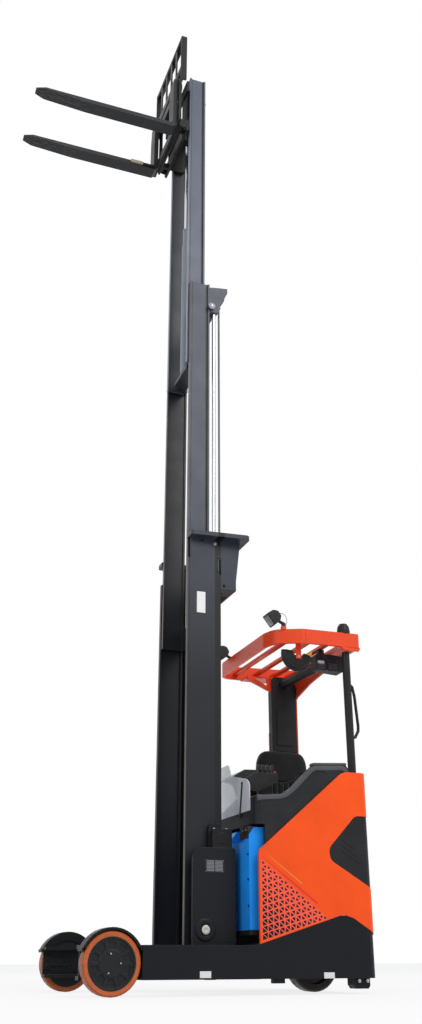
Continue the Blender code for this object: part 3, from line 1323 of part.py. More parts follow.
def tilt_frame(look):
    """Upright frame that hangs on the carriage's two hinge pins and carries the bars that shift sideways."""
    carrier("tilt_axis", (TILT_X, 0.0, FORK_UNDERSIDE_Z + TILT_HEIGHT), "carriage_axis")
    base = FORK_UNDERSIDE_Z
    front, rear = TILT_FRAME_X
    half = 0.330
    frame = add("tilt_frame", box(front, rear, -half, half, base + 0.045, base + 0.130), look["black_paint"], "tilt_axis")
    join(frame, box(front, rear, -half, half, base + 0.480, base + 0.550))
    hinge_z = base + TILT_HEIGHT
    eye = arc(TILT_X, hinge_z, 0.020, -90, 90, 10) + [(rear - 0.004, hinge_z + 0.020), (rear - 0.004, hinge_z - 0.020)]
    for side in (NEAR, FAR):
        low, high = sorted((side * 0.255, side * 0.315))
        join(frame, box(front + 0.0005, rear - 0.0005, low, high, base + 0.100, base + 0.520))
        low, high = sorted((side * (TILT_LUG_Y[0] + TILT_LUG_WIDTH + RUNNING_GAP), side * (TILT_LUG_Y[1] - RUNNING_GAP)))
        join(frame, prism(eye, "Y", low, high))
        cut(frame, rod("Y", (TILT_X, hinge_z), TILT_PIN_RADIUS + 0.0005, low - 0.001, high + 0.001, 24))
        low, high = sorted((side * 0.120, side * 0.300))
        for z0, z1 in ((base + 0.052, base + 0.072), (base + 0.500, base + 0.530)):
            join(frame, box(SHIFT_BARS_X[1] + 0.0005, front + 0.002, low, high, z0, z1))


def side_shift(look):
    carrier("shift_axis", (0.400, 0.0, FORK_UNDERSIDE_Z), "tilt_axis")
    base = FORK_UNDERSIDE_Z
    half = CARRIAGE_HALF_WIDTH
    x0, x1 = SHIFT_BARS_X
    frame = add("fork_bars", box(x0, x1, -half, half, base + 0.055, base + 0.135), look["black_paint"], "shift_axis")
    join(frame, box(x0, x1, -half, half, base + 0.475, base + 0.555))
    for side in (NEAR, FAR):
        low, high = sorted((side * (half - 0.040), side * (half - 0.002)))
        join(frame, box(x0 + 0.001, x1 - 0.001, low, high, base + 0.100, base + 0.500))
    backrest(look, base)
    forks(look, base, x0)


def backrest(look, base):
    half = CARRIAGE_HALF_WIDTH
    low, high = base + 0.5553, BACKREST_TOP_Z
    x0, x1 = 0.388, SHIFT_BARS_X[1] - 0.0005
    outline = rounded([(-half, low, 0), (half, low, 0), (half, high, 0.060), (-half, high, 0.060)])
    grid = add("load_backrest", prism(outline, "X", x0, x1), look["black_paint"], "shift_axis")
    bar = 0.025
    bars = 6
    pitch = (2 * half - bar) / bars
    for i in range(bars):
        y = -half + bar + i * pitch
        cut(grid, box(x0 - 0.01, x1 + 0.01, y, y + pitch - bar, low + 0.060, high - 0.030))


def forks(look, base, shank_rear):
    tip = FORK_TIP_X
    thick = FORK_THICKNESS
    profile = [
        (tip, base + 0.027),
        (tip + 0.450, base),
        (SHANK_FRONT_X + 0.010, base),
        (shank_rear - GAP, base + 0.030),
        (shank_rear - GAP, base + 0.570),
        (SHANK_FRONT_X + 0.005, base + 0.570),
        (SHANK_FRONT_X, base + 0.400),
        (SHANK_FRONT_X, base + thick + 0.020),
        (SHANK_FRONT_X - 0.020, base + thick),
        (tip, base + thick),
    ]
    for name, side in SIDES:
        y = side * FORK_Y
        low, high = y - FORK_WIDTH / 2, y + FORK_WIDTH / 2
        fork = add(f"fork_{name}", prism(profile, "Y", low, high), look["fork"], "shift_axis")
        for edge in (NEAR, FAR):
            outer = y + edge * (FORK_WIDTH / 2 + 0.01)
            inner = y + edge * (FORK_WIDTH / 2)
            tipped = y + edge * (FORK_WIDTH / 2 - 0.035)
            wedge = [(tip - 0.01, outer), (tip + 0.080, outer), (tip + 0.080, inner), (tip - 0.01, tipped)]
            cut(fork, prism(wedge, "Z", base - 0.1, base + 0.2))


def clamp_boss(side, face):
    """Low round boss on the clamp that holds the mast to the carriage."""
    return [(0, side * face), (0.034, side * face), (0.034, side * (face + 0.008)), (0, side * (face + 0.008))]


def pin_boss(side, face):
    """Stepped ring round the carriage's lower pin, whose end stands in the middle."""
    steps = [(0, 0), (0.066, 0), (0.066, 0.010), (0.058, 0.014), (0.040, 0.014), (0.036, 0.009), (0.028, 0.009), (0.028, 0.013), (0, 0.013)]
    return [(radius, side * (face + out)) for radius, out in steps]


def reach_carriage(look):
    outline = rounded(
        [
            (0.558, 0.294, 0.02),
            (CARRIAGE_REAR_X, 0.294, 0),
            (CARRIAGE_REAR_X, 0.850, 0.02),
            (0.558, 0.850, 0.072),
        ],
        5,
    )
    clamp = rounded([(0.692, 0.846, 0), (0.826, 0.846, 0), (0.826, 0.967, 0.008), (0.692, 0.967, 0.008)], 2)
    lug = rounded([(0.682, 0.846, 0), (0.770, 0.846, 0), (0.770, 1.006, 0.026), (0.682, 1.006, 0.034)])
    lower = [(0.560, 0.110), (CARRIAGE_REAR_X - 0.001, 0.110), (CARRIAGE_REAR_X - 0.001, 0.310), (0.560, 0.310)]
    y0, y1 = 0.402, 0.425
    frame = None
    for side in (NEAR, FAR):
        low, high = sorted((side * y0, side * y1))
        plate = prism(outline, "Y", low, high)
        if frame is None:
            frame = add("reach_carriage", plate, look["frame"], "reach_axis")
        else:
            join(frame, plate)
        low, high = sorted((side * (y0 + 0.001), side * (y1 - 0.001)))
        join(frame, prism(lower, "Y", low, high))
        low, high = sorted((side * (OUTER["face"] + GAP), side * (y0 + 0.003)))
        for z0, z1 in ((0.140, 0.240), (0.480, 0.620)):
            join(frame, box(0.600, 0.740, low, high, z0, z1))
        channel_z = (ARM_BOTTOM_Z + ARM_TOP_Z) / 2
        roller_radius = (ARM_TOP_Z - ARM_BOTTOM_Z) / 2 - ARM_FLANGE - ROLLER_SIDE_GAP
        low, high = sorted((side * (y1 - 0.003), side * (ARM_WEB_Y - ARM_WALL - 0.012)))
        for x in (0.640, 0.790):
            join(frame, rod("Y", (x, channel_z), roller_radius, low, high, 16))
        join(frame, prism(clamp, "Y", *ordered(side, OUTER["face"] + GAP, y1 - 0.001)))
        join(frame, prism(lug, "Y", *ordered(side, OUTER["face"] + GAP, OUTER["face"] + 0.040)))
        join(frame, turned(clamp_boss(side, y1 - 0.004), "Y", (0.760, 0.910), 20))
        join(frame, turned(pin_boss(side, y1 - 0.003), "Y", (0.643, 0.363), 28))
    join(frame, box(CARRIAGE_REAR_X - 0.020, CARRIAGE_REAR_X - 0.0005, -y0 - 0.01, y0 + 0.01, 0.112, 0.840))
    cut(frame, box(CARRIAGE_REAR_X - 0.05, CARRIAGE_REAR_X + 0.05, -0.240, 0.240, 0.430, 0.750))
    return frame


def build():
    clear_scene()
    look = dict(
        orange=finish("orange_paint", 250, 90, 36, 0.35),
        frame=finish("charcoal_paint", 52, 56, 64, 0.45),
        black_paint=finish("black_paint", 28, 29, 32, 0.5),
        black_plastic=finish("black_plastic", 34, 35, 38, 0.6),
        battery=finish("blue_paint", 40, 140, 225, 0.4),
        tyre=finish("polyurethane", 190, 92, 42, 0.55),
        hub=finish("hub_paint", 36, 38, 42, 0.5),
        steel=finish("bright_steel", 170, 172, 176, 0.3, 1.0),
        chrome=finish("chromed_rod", 210, 212, 216, 0.12, 1.0),
        chain=finish("chain_steel", 95, 98, 110, 0.4, 1.0),
        fork=finish("fork_paint", 38, 39, 42, 0.5),
        fabric=finish("seat_fabric", 30, 30, 33, 0.9),
        clear=finish("clear_plastic", 200, 205, 215, 0.1),
    )
    carrier("truck", (0.0, 0.0, 0.0))
    load_wheels(look)
    fenders(look)
    chassis(look)
    drive_unit(look)
    battery(look)
    side_panels(look)
    rear_panel(look)
    cowl(look)
    bulkhead(look)
    operator_place(look)
    pillar(look)
    overhead_guard(look)
    guard_post(look)
    guard_fittings(look)
    armrest(look)
    front_shield(look)
    steering_wheel(look)
    outer_mast(look)
    reach_carriage(look)
    reach_cylinder(look)
    middle_mast(look)
    lift_cylinders(look)
    lift_chains(look)
    inner_mast(look)
    free_lift(look)
    fork_carriage(look)
    tilt_frame(look)
    side_shift(look)


build()
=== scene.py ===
import math

import bmesh
import bpy
import numpy as np
from mathutils import Matrix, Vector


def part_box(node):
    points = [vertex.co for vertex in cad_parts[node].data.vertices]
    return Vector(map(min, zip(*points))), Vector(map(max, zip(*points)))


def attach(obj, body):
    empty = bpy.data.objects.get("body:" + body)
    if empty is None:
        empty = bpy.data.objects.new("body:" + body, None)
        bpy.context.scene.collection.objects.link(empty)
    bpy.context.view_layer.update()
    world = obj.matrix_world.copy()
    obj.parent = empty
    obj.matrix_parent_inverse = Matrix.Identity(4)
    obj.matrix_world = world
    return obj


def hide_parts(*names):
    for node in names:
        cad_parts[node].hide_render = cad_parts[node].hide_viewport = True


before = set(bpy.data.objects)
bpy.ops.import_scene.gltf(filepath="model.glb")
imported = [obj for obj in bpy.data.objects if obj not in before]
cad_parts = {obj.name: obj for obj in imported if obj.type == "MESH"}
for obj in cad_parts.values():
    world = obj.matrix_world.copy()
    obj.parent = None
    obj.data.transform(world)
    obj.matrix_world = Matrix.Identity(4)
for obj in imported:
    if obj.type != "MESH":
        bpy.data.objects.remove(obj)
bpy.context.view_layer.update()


# The view: the camera stands low beside the load wheels and looks up along the mast. Positions measured
# on the truck count X from the load axle, which lies at LOAD_AXLE_X in the frame.
def linked(name, data):
    """A new object in the scene that shows this data."""
    made = bpy.data.objects.new(name, data)
    bpy.context.scene.collection.objects.link(made)
    return made


LOAD_AXLE_X = -0.452
PICTURE_HEIGHT, FOCAL_LENGTH = 1024, 1003.93
heading, climb, roll = math.radians(20.368), math.radians(24.679), math.radians(-0.094)
lens = bpy.data.cameras.new("view")
lens.sensor_width = 36.0
lens.lens = FOCAL_LENGTH * lens.sensor_width / PICTURE_HEIGHT
lens.shift_x, lens.shift_y = -6.09 / PICTURE_HEIGHT, -14.43 / PICTURE_HEIGHT
lens.clip_end = 200.0
view = linked("view", lens)
stand = Matrix.Translation((-1.6447 + LOAD_AXLE_X, -6.8103, 0.1996))
turn = Matrix.Rotation(-heading, 4, "Z") @ Matrix.Rotation(math.pi / 2 + climb, 4, "X")
view.matrix_world = stand @ turn @ Matrix.Rotation(roll, 4, "Z")
bpy.context.scene.camera = view
bpy.context.scene.view_settings.view_transform = "Standard"


# Stage: a pale concrete floor that fades into a white studio wall. Its white comes from Light Path, so
# the lamps only light the truck and the floor keeps the truck's soft shadow.
def fed(tree, made, inputs):
    """Gives a node its inputs: a number or colour is set on the socket, another node's socket is linked."""
    for at, value in inputs.items():
        if isinstance(value, bpy.types.NodeSocket):
            tree.links.new(value, made.inputs[at])
        elif made.inputs[at].type == "RGBA":
            made.inputs[at].default_value = (*value, 1)
        else:
            made.inputs[at].default_value = value
    return made


def node(tree, kind, inputs={}, **settings):
    """A new node of a kind with its settings and inputs."""
    made = tree.nodes.new("ShaderNode" + kind)
    for name, value in settings.items():
        setattr(made, name, value)
    return fed(tree, made, inputs)


def calculated(tree, operation, *values):
    """One Math node; a value is a number or a socket."""
    return node(tree, "Math", dict(enumerate(values)), operation=operation).outputs[0]


def white_for_camera(tree, plain, white):
    """Mixes two shaders: white where the camera, a reflection or a view through glass looks, else plain."""
    looks = node(tree, "LightPath").outputs
    seen = calculated(tree, "MAXIMUM", looks["Is Camera Ray"], looks["Is Glossy Ray"])
    seen = calculated(tree, "MAXIMUM", seen, looks["Is Transmission Ray"])
    return node(tree, "MixShader", {0: seen, 1: plain.outputs[0], 2: white.outputs[0]})


world = bpy.data.worlds.new("studio")
world.use_nodes = True
bpy.context.scene.world = world
sky = world.node_tree
sky.nodes.clear()
soft_light = node(sky, "Background", {"Color": (0.93, 0.96, 1.0), "Strength": 0.62})
wall = node(sky, "Background", {"Color": (1, 1, 1), "Strength": 1.0})
node(sky, "OutputWorld", {0: white_for_camera(sky, soft_light, wall).outputs[0]})

FLOOR_REACH = 40
floor_corners = [(x * FLOOR_REACH, y * FLOOR_REACH, 0) for x, y in ((-1, -1), (1, -1), (1, 1), (-1, 1))]
floor_mesh = bpy.data.meshes.new("floor")
floor_mesh.from_pydata(floor_corners, [], [(0, 1, 2, 3)])
floor = linked("floor", floor_mesh)
pale_floor = bpy.data.materials.new("pale_floor")
pale_floor.use_nodes = True
tree = pale_floor.node_tree
tree.nodes.clear()
concrete = node(tree, "BsdfDiffuse", {"Color": (0.82, 0.82, 0.82)})
glow = node(tree, "Emission", {"Strength": 1.0})
half_lit = node(tree, "MixShader", {0: 0.82, 1: concrete.outputs[0], 2: glow.outputs[0]})
node(tree, "OutputMaterial", {0: white_for_camera(tree, concrete, half_lit).outputs[0]})
floor_mesh.materials.append(pale_floor)

for name, power, size, place, aim in (
    ("window", 640.0, 6.5, (3.2, -8.6, 9.6), (0.2, 0.0, 2.6)),
    ("front_panel", 110.0, 5.0, (-8.0, -5.0, 6.0), (0.0, 0.0, 3.5)),
    ("back_panel", 150.0, 6.0, (2.0, 9.0, 7.0), (0.2, 0.0, 2.5)),
):
    light = bpy.data.lights.new(name, "AREA")
    light.energy, light.size, light.color = power, size, (1.0, 0.985, 0.96)
    lamp = linked(name, light)
    away = np.array(place) - np.array(aim)
    side = np.cross((0, 0, 1), away)
    axes = [axis / np.linalg.norm(axis) for axis in (side, np.cross(away, side), away)]
    placed = np.eye(4)
    placed[:3, :3], placed[:3, 3] = np.stack(axes, 1), place
    lamp.matrix_world = Matrix(placed.tolist())


# Frame plates and arms: welded steel in a satin charcoal coat. It is worn brownish along its edges, where
# loads and pallets rub, lightly dusty on top and has the fine orange peel of a sprayed coat.
def blended(tree, share, under, over):
    """One colour Mix node: under, and over where share is 1."""
    return node(tree, "Mix", {0: share, 6: under, 7: over}, data_type="RGBA").outputs[2]


def product(tree, first, *others):
    """Its values multiplied, from the left."""
    for other in others:
        first = calculated(tree, "MULTIPLY", first, other)
    return first


def clouds(tree, vector, scale, detail=5.0, roughness=0.6):
    """Fractal noise, from 0 to 1."""
    inputs = {"Vector": vector, "Scale": scale, "Detail": detail, "Roughness": roughness}
    return node(tree, "TexNoise", inputs).outputs["Fac"]


def stretched(tree, value, low, high, to_low=0.0, to_high=1.0):
    """One Map Range node: low to high becomes to_low to to_high."""
    return node(tree, "MapRange", dict(enumerate((value, low, high, to_low, to_high)))).outputs[0]


def object_place(tree):
    """The place on the piece, as a vector."""
    return node(tree, "TexCoord").outputs["Object"]


def object_axes(tree):
    """X, Y and Z of the place on the piece."""
    return tuple(node(tree, "SeparateXYZ", {0: object_place(tree)}).outputs)


def finish_group(name, colours, numbers):
    """A node group with the given inputs that puts out a coat's colour, roughness, height and normal."""
    group = bpy.data.node_groups.new(name, "ShaderNodeTree")
    for inputs, kind in ((colours, "NodeSocketColor"), (numbers, "NodeSocketFloat")):
        for label, value in inputs.items():
            made = group.interface.new_socket(label, in_out="INPUT", socket_type=kind)
            made.default_value = value
    for label, kind in (("Colour", "Color"), ("Roughness", "Float"), ("Height", "Float"), ("Normal", "Vector")):
        group.interface.new_socket(label, in_out="OUTPUT", socket_type="NodeSocket" + kind)
    return group, group.nodes.new("NodeGroupInput").outputs, object_place(group)


def edges_found(group, radius):
    """A normal that is rounded over the edges, and a mask that is 1 on an edge: where the rounded normal
    leaves the face's own."""
    edge = node(group, "Bevel", {"Radius": radius}, samples=4).outputs[0]
    flat = node(group, "NewGeometry").outputs["Normal"]
    agreement = node(group, "VectorMath", {0: edge, 1: flat}, operation="DOT_PRODUCT").outputs["Value"]
    return edge, flat, stretched(group, agreement, 0.995, 0.90)


def put_out(group, results):
    """Links a group's results to its outputs."""
    fed(group, group.nodes.new("NodeGroupOutput"), results)


sprayed, given, place = finish_group(
    "sprayed_coat",
    {"Colour": (0.1, 0.1, 0.1, 1), "Worn Colour": (0.3, 0.2, 0.15, 1), "Dust Colour": (0.30, 0.28, 0.25, 1)},
    {"Wear": 0.5, "Dust": 0.3, "Roughness": 0.4, "Peel Scale": 260.0},
)
edge, flat, edge_mask = edges_found(sprayed, 0.0035)
scuffs = stretched(sprayed, clouds(sprayed, place, 38.0, 6.0, 0.7), 0.42, 0.62)
mottle = stretched(sprayed, clouds(sprayed, place, 3.2), 0.3, 0.7, 0.90, 1.08)
tinted = node(sprayed, "VectorMath", {0: given["Colour"], "Scale": mottle}, operation="SCALE").outputs[0]
worn = blended(sprayed, product(sprayed, edge_mask, scuffs, given["Wear"]), tinted, given["Worn Colour"])
lying = stretched(sprayed, node(sprayed, "SeparateXYZ", {0: flat}).outputs["Z"], 0.35, 0.95)
settled = stretched(sprayed, clouds(sprayed, place, 11.0), 0.35, 0.7)
dust = product(sprayed, lying, settled, given["Dust"])
smudged = stretched(sprayed, clouds(sprayed, place, 7.0), 0.3, 0.7, -0.05, 0.07)
dulled = calculated(sprayed, "ADD", smudged, product(sprayed, dust, 0.4))
peel = node(sprayed, "TexNoise", {"Vector": place, "Scale": given["Peel Scale"], "Detail": 2.0})
put_out(sprayed, {
    "Colour": blended(sprayed, dust, worn, given["Dust Colour"]),
    "Roughness": calculated(sprayed, "ADD", given["Roughness"], dulled),
    "Height": peel.outputs["Fac"],
    "Normal": edge,
})


def new_finish(name, **inputs):
    """A material with its tree and its shader, whose own inputs are named with _ for a space."""
    material = bpy.data.materials.new(name)
    material.use_nodes = True
    tree = material.node_tree
    shader = tree.nodes["Principled BSDF"]
    return material, tree, fed(tree, shader, {label.replace("_", " "): value for label, value in inputs.items()})


def bumped(tree, shader, height, strength, distance, more={}, **settings):
    """Lets a height stand out of the surface."""
    inputs = {"Height": height, "Strength": strength, "Distance": distance, **more}
    fed(tree, shader, {"Normal": node(tree, "Bump", inputs, **settings).outputs[0]})


def grouped(tree, shader, group, inputs, depth, distance, over=None):
    """Lets a group finish a shader; over may put a decal's colour on top of the group's."""
    made = tree.nodes.new("ShaderNodeGroup")
    made.node_tree = group
    given = fed(tree, made, inputs).outputs
    seen = over(tree, given["Colour"]) if over else given["Colour"]
    fed(tree, shader, {"Base Color": seen, "Roughness": given["Roughness"]})
    bumped(tree, shader, given["Height"], depth, distance, {"Normal": given["Normal"]})


def coated(name, colour, roughness, worn=(0.20, 0.13, 0.10), wear=0.5, dust=0.25, peel_depth=0.04, peel=260.0,
           gloss=0.2, over=None, metallic=0.0):
    """A sprayed coat."""
    material, tree, shader = new_finish(name, Specular_IOR_Level=gloss, Metallic=metallic)
    inputs = {"Colour": colour, "Worn Colour": worn, "Wear": wear, "Dust": dust}
    inputs.update({"Roughness": roughness, "Peel Scale": peel})
    grouped(tree, shader, sprayed, inputs, peel_depth, 0.002, over)
    return material


def finished(material, *names):
    """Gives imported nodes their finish."""
    for name in names:
        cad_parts[name].material_slots[0].material = material
    return material


def within(tree, axis_value, low, high, soft=0.0008):
    """1 between two places along an axis, with a thin soft edge."""
    rise = stretched(tree, axis_value, low - soft, low + soft)
    return product(tree, rise, stretched(tree, axis_value, high - soft, high + soft, 1.0, 0.0))


def beyond(tree, value, limit):
    """1 where the place lies further from the middle plane than the limit."""
    return calculated(tree, "GREATER_THAN", calculated(tree, "ABSOLUTE", value), limit)


def two_labels(tree, under):
    """Small blank white labels low on each side wall of the frame."""
    x, y, z = object_axes(tree)
    labels = [
        product(tree, within(tree, x, left + LOAD_AXLE_X, right + LOAD_AXLE_X), within(tree, z, foot, head))
        for left, right, foot, head in ((0.535, 0.606, 0.097, 0.133), (1.345, 1.417, 0.088, 0.123))
    ]
    both = product(tree, calculated(tree, "MAXIMUM", *labels), beyond(tree, y, 0.633))
    return blended(tree, both, under, (0.78, 0.78, 0.76))


charcoal = (0.0088, 0.0100, 0.0128)
frame_coat = coated("charcoal_frame_coat", charcoal, 0.46, (0.16, 0.10, 0.085), 0.55, 0.14, gloss=0.14, over=two_labels)
finished(frame_coat, "chassis_frame")
fender_coat = coated("fender_coat", charcoal, 0.42, (0.22, 0.20, 0.19), 0.6, 0.2, gloss=0.14)
finished(fender_coat, "load_fender_near", "load_fender_far")
finished(coated("machine_black", (0.012, 0.0125, 0.014), 0.42, (0.12, 0.11, 0.11), 0.5, 0.2), "battery_tray",
         "cab_floor", "drive_gearbox", "drive_motor", "reach_cylinder_barrel", "lift_barrel_near", "lift_barrel_far")


# Load wheels: a band of cast orange-brown polyurethane on a cast, painted hub. The tread is darker and
# scuffed where it rolls, and a pale bond line shows beside the hub.
def rolled_tread(name, axle, tread, side, bond, outer_radius):
    """Band colour by the distance from the axle: bond line inside, side wall, darker tread outside."""
    material, tree, shader = new_finish(name, Specular_IOR_Level=0.4)
    place = object_place(tree)
    from_axle = node(tree, "Mapping", {0: place, "Location": tuple(-at for at in axle)}).outputs[0]
    flattened = node(tree, "VectorMath", {0: from_axle, 1: (1, 0, 1)}, operation="MULTIPLY").outputs[0]
    out = node(tree, "VectorMath", {0: flattened}, operation="LENGTH").outputs["Value"]
    worn = stretched(tree, clouds(tree, place, 26.0, 7.0, 0.7), 0.35, 0.7)
    tread_mask = stretched(tree, out, outer_radius - 0.008, outer_radius - 0.002)
    scuffed = product(tree, tread_mask, stretched(tree, worn, 0.0, 1.0, 0.45, 1.0))
    colour = blended(tree, scuffed, blended(tree, product(tree, worn, 0.35), side, tread), tread)
    bond_mask = stretched(tree, out, outer_radius - 0.0270, outer_radius - 0.0275)
    rough = stretched(tree, worn, 0, 1, 0.38, 0.62)
    fed(tree, shader, {"Base Color": blended(tree, bond_mask, colour, bond), "Roughness": rough})
    bumped(tree, shader, clouds(tree, place, 190.0, 3.0), 0.12, 0.001)
    return material


load_axle = (LOAD_AXLE_X, 0, 0.175)
load_tread, load_side, load_bond = (0.20, 0.052, 0.014), (0.56, 0.115, 0.022), (0.30, 0.10, 0.04)
load_band = rolled_tread("load_wheel_band", load_axle, load_tread, load_side, load_bond, 0.175)
finished(load_band, "load_tyre_near", "load_tyre_far")
finished(coated("cast_hub_coat", (0.013, 0.014, 0.017), 0.40, (0.16, 0.14, 0.13), 0.5, 0.10, 0.12, 120.0),
         "load_hub_near", "load_hub_far")


# Drive wheel: the same polyurethane, cast on a steel rim, in a darker, road-worn state. It turns in the
# steered gearbox under the drive motor.
drive_axle = (1.520 + LOAD_AXLE_X, -0.075, 0.17)
drive_tread, drive_side = (0.012, 0.010, 0.009), (0.020, 0.012, 0.009)
finished(rolled_tread("drive_wheel_band", drive_axle, drive_tread, drive_side, drive_tread, 0.17), "drive_wheel")


# Battery: a folded and welded steel box in blue enamel, screwed shut, which slides into its bay from the
# side. Its foot is dipped in black against scuffs.
def black_foot(tree, under):
    """The box's lowest part is dipped in black."""
    return blended(tree, stretched(tree, object_axes(tree)[2], 0.3485, 0.3475), under, (0.011, 0.012, 0.014))


enamel, enamel_worn = (0.018, 0.315, 1.0), (0.05, 0.16, 0.40)
battery_blue = coated("battery_blue_enamel", enamel, 0.34, enamel_worn, 0.15, 0.05, gloss=0.12, over=black_foot)
finished(battery_blue, "battery")


# Orange skins: formed steel sheet in gloss orange. On both side skins a lattice of dark triangles is printed
# over the lower front corner and fades out towards the top, with two thin slanting stripes above it.
def lattice_and_stripes(tree, under):
    """Triangles are left between three families of lines, upright, rising and falling, that widen upwards;
    a stripe is a band along a slanting line that fades out at its start."""
    x, y, z = object_axes(tree)
    corner_x, corner_z, pitch_across, pitch = 0.940 + LOAD_AXLE_X, 0.300, 0.0378, 0.0393

    def line(rise):
        """Lines counted upwards from the one that leaves the lower corner with this rise."""
        leaning = product(tree, calculated(tree, "SUBTRACT", x, corner_x), rise)
        height = calculated(tree, "SUBTRACT", calculated(tree, "SUBTRACT", z, corner_z), leaning)
        return calculated(tree, "DIVIDE", height, pitch)

    def off_line(count):
        """How far a place lies from the nearest line, in pitches."""
        return calculated(tree, "PINGPONG", count, 0.5)

    upright = calculated(tree, "DIVIDE", calculated(tree, "SUBTRACT", x, corner_x), pitch_across)
    rising, falling = line(0.281), line(-0.7587)
    nearest = calculated(tree, "MINIMUM", off_line(rising), off_line(falling))
    nearest = calculated(tree, "MINIMUM", off_line(upright), nearest)
    web = stretched(tree, falling, 0.0, 12.0, 0.055, 0.175)
    outside = beyond(tree, y, 0.6345)
    past_corner = [calculated(tree, "GREATER_THAN", count, 0.0) for count in (upright, rising)]
    region = product(tree, *past_corner, outside, calculated(tree, "LESS_THAN", falling, 12.0))
    cells = product(tree, region, calculated(tree, "GREATER_THAN", nearest, web))
    ground = blended(tree, region, under, (0.955, 0.112, 0.058))
    colour = blended(tree, cells, ground, (0.0030, 0.0075, 0.0120))

    def along(angle, offset):
        """Distance along a direction in the side wall's plane."""
        shares = ((x, math.cos(math.radians(angle))), (z, math.sin(math.radians(angle))))
        total = calculated(tree, "ADD", *(product(tree, axis, share) for axis, share in shares))
        return calculated(tree, "ADD", total, offset)

    for start, end, half, tint in (
        ((0.950, 0.784), (1.318, 0.516), 0.0050, (0.80, 0.022, 0.035)),
        ((0.979, 0.802), (1.218, 0.631), 0.0030, (0.83, 0.27, 0.035)),
    ):
        ax, bx = start[0] + LOAD_AXLE_X, end[0] + LOAD_AXLE_X
        slant = math.degrees(math.atan2(end[1] - start[1], bx - ax))
        c, s = math.cos(math.radians(slant)), math.sin(math.radians(slant))
        lengthwise = along(slant, -(ax * c + start[1] * s))
        crosswise = along(slant + 90, -(-ax * s + start[1] * c))
        reach = math.hypot(end[1] - start[1], bx - ax)
        fading = stretched(tree, lengthwise, 0.0, 0.6 * reach, 0.25, 1.0)
        bar = product(tree, within(tree, lengthwise, 0.0, reach), within(tree, crosswise, -half, half), fading, outside)
        colour = blended(tree, bar, colour, tint)
    return colour


orange, orange_worn = (0.94, 0.088, 0.009), (0.55, 0.10, 0.04)
side_orange = coated("side_skin_orange", orange, 0.34, orange_worn, 0.25, 0.10, 0.02, over=lattice_and_stripes)
finished(side_orange, "side_panel_near", "side_panel_far")
finished(coated("skin_orange", orange, 0.34, orange_worn, 0.25, 0.10, 0.02), "rear_panel")


# Moulded parts: the housing, console, grilles and steering wheel are black plastic with a fine
# leather-like grain from the mould, rubbed a little paler along the edges.
grained, given, place = finish_group(
    "moulded_grain",
    {"Colour": (0.02, 0.02, 0.02, 1), "Rubbed": (0.07, 0.07, 0.075, 1)},
    {"Grain Scale": 420.0, "Roughness": 0.5},
)
cells = node(grained, "TexVoronoi", {"Vector": place, "Scale": given["Grain Scale"]}, feature="SMOOTH_F1")
edge, _, edge_mask = edges_found(grained, 0.004)
rubbed = product(grained, edge_mask, stretched(grained, clouds(grained, place, 15.0), 0.3, 0.7, 0.3, 1.0))
faded = stretched(grained, clouds(grained, place, 5.0), 0.35, 0.75, 0.0, 0.22)
mottled = blended(grained, faded, given["Colour"], given["Rubbed"])
handled = stretched(grained, clouds(grained, place, 9.0), 0.3, 0.7, -0.06, 0.08)
put_out(grained, {
    "Colour": blended(grained, rubbed, mottled, given["Rubbed"]),
    "Roughness": calculated(grained, "ADD", given["Roughness"], handled),
    "Height": cells.outputs["Distance"],
    "Normal": edge,
})


def moulded(name, colour, roughness=0.5, rubbed=(0.07, 0.07, 0.075), grain=420.0, depth=0.25):
    """Grained plastic or vinyl."""
    material, tree, shader = new_finish(name, Specular_IOR_Level=0.2)
    inputs = {"Colour": colour, "Rubbed": rubbed, "Grain Scale": grain, "Roughness": roughness}
    grouped(tree, shader, grained, inputs, depth, 0.0008)
    return material


housing_black = moulded("housing_black", (0.0100, 0.0108, 0.0132), 0.48, (0.060, 0.062, 0.070))
finished(housing_black, "cowl", "bulkhead", "seat_box", "seat_frame", "steering_column")
grille_black = moulded("grille_black", (0.011, 0.0115, 0.013), 0.5, (0.05, 0.05, 0.055))
finished(grille_black, "vent_grille_near", "vent_grille_far", "pillar_lining", "radio_box")
finished(moulded("console_black", (0.0080, 0.0080, 0.0092), 0.40, (0.13, 0.13, 0.14), 360.0, 0.2), "armrest_console")
rim_black = moulded("steering_rim_black", (0.013, 0.013, 0.014), 0.55, (0.04, 0.04, 0.04), 600.0, 0.35)
finished(rim_black, "steering_wheel")


# Clear shield before the console: a sheet of polycarbonate with a grey tint, screwed to the housing.
# Wiping has left a haze of fine scratches.
clear, tree, shader = new_finish("clear_sheet", Base_Color=(0.80, 0.82, 0.88), Specular_IOR_Level=0.4)
wiped = node(tree, "Mapping", {0: object_place(tree), "Scale": (1, 1, 0.25), "Rotation": (0, 0.5, 0)}).outputs[0]
haze = clouds(tree, wiped, 14.0, 6.0)
cover = stretched(tree, haze, 0.3, 0.7, 0.58, 0.68)
fed(tree, shader, {"Roughness": stretched(tree, haze, 0.3, 0.7, 0.10, 0.30), "Alpha": cover})
finished(clear, "front_shield")


# Overhead guard and its pillar: steel tube and plate, bent, welded and sprayed orange-red under a clear
# lacquer. Its post is black, and the lamps, beacon and mirror on it are moulded shells.
def welded_seam(tree, under):
    """The near rail is butted from two lengths, with a thin dark line between them."""
    x, y, z = object_axes(tree)
    line = within(tree, x, 1.3545 + LOAD_AXLE_X, 1.3575 + LOAD_AXLE_X, 0.0006)
    return blended(tree, product(tree, line, calculated(tree, "LESS_THAN", y, -0.535)), under, (0.25, 0.030, 0.012))


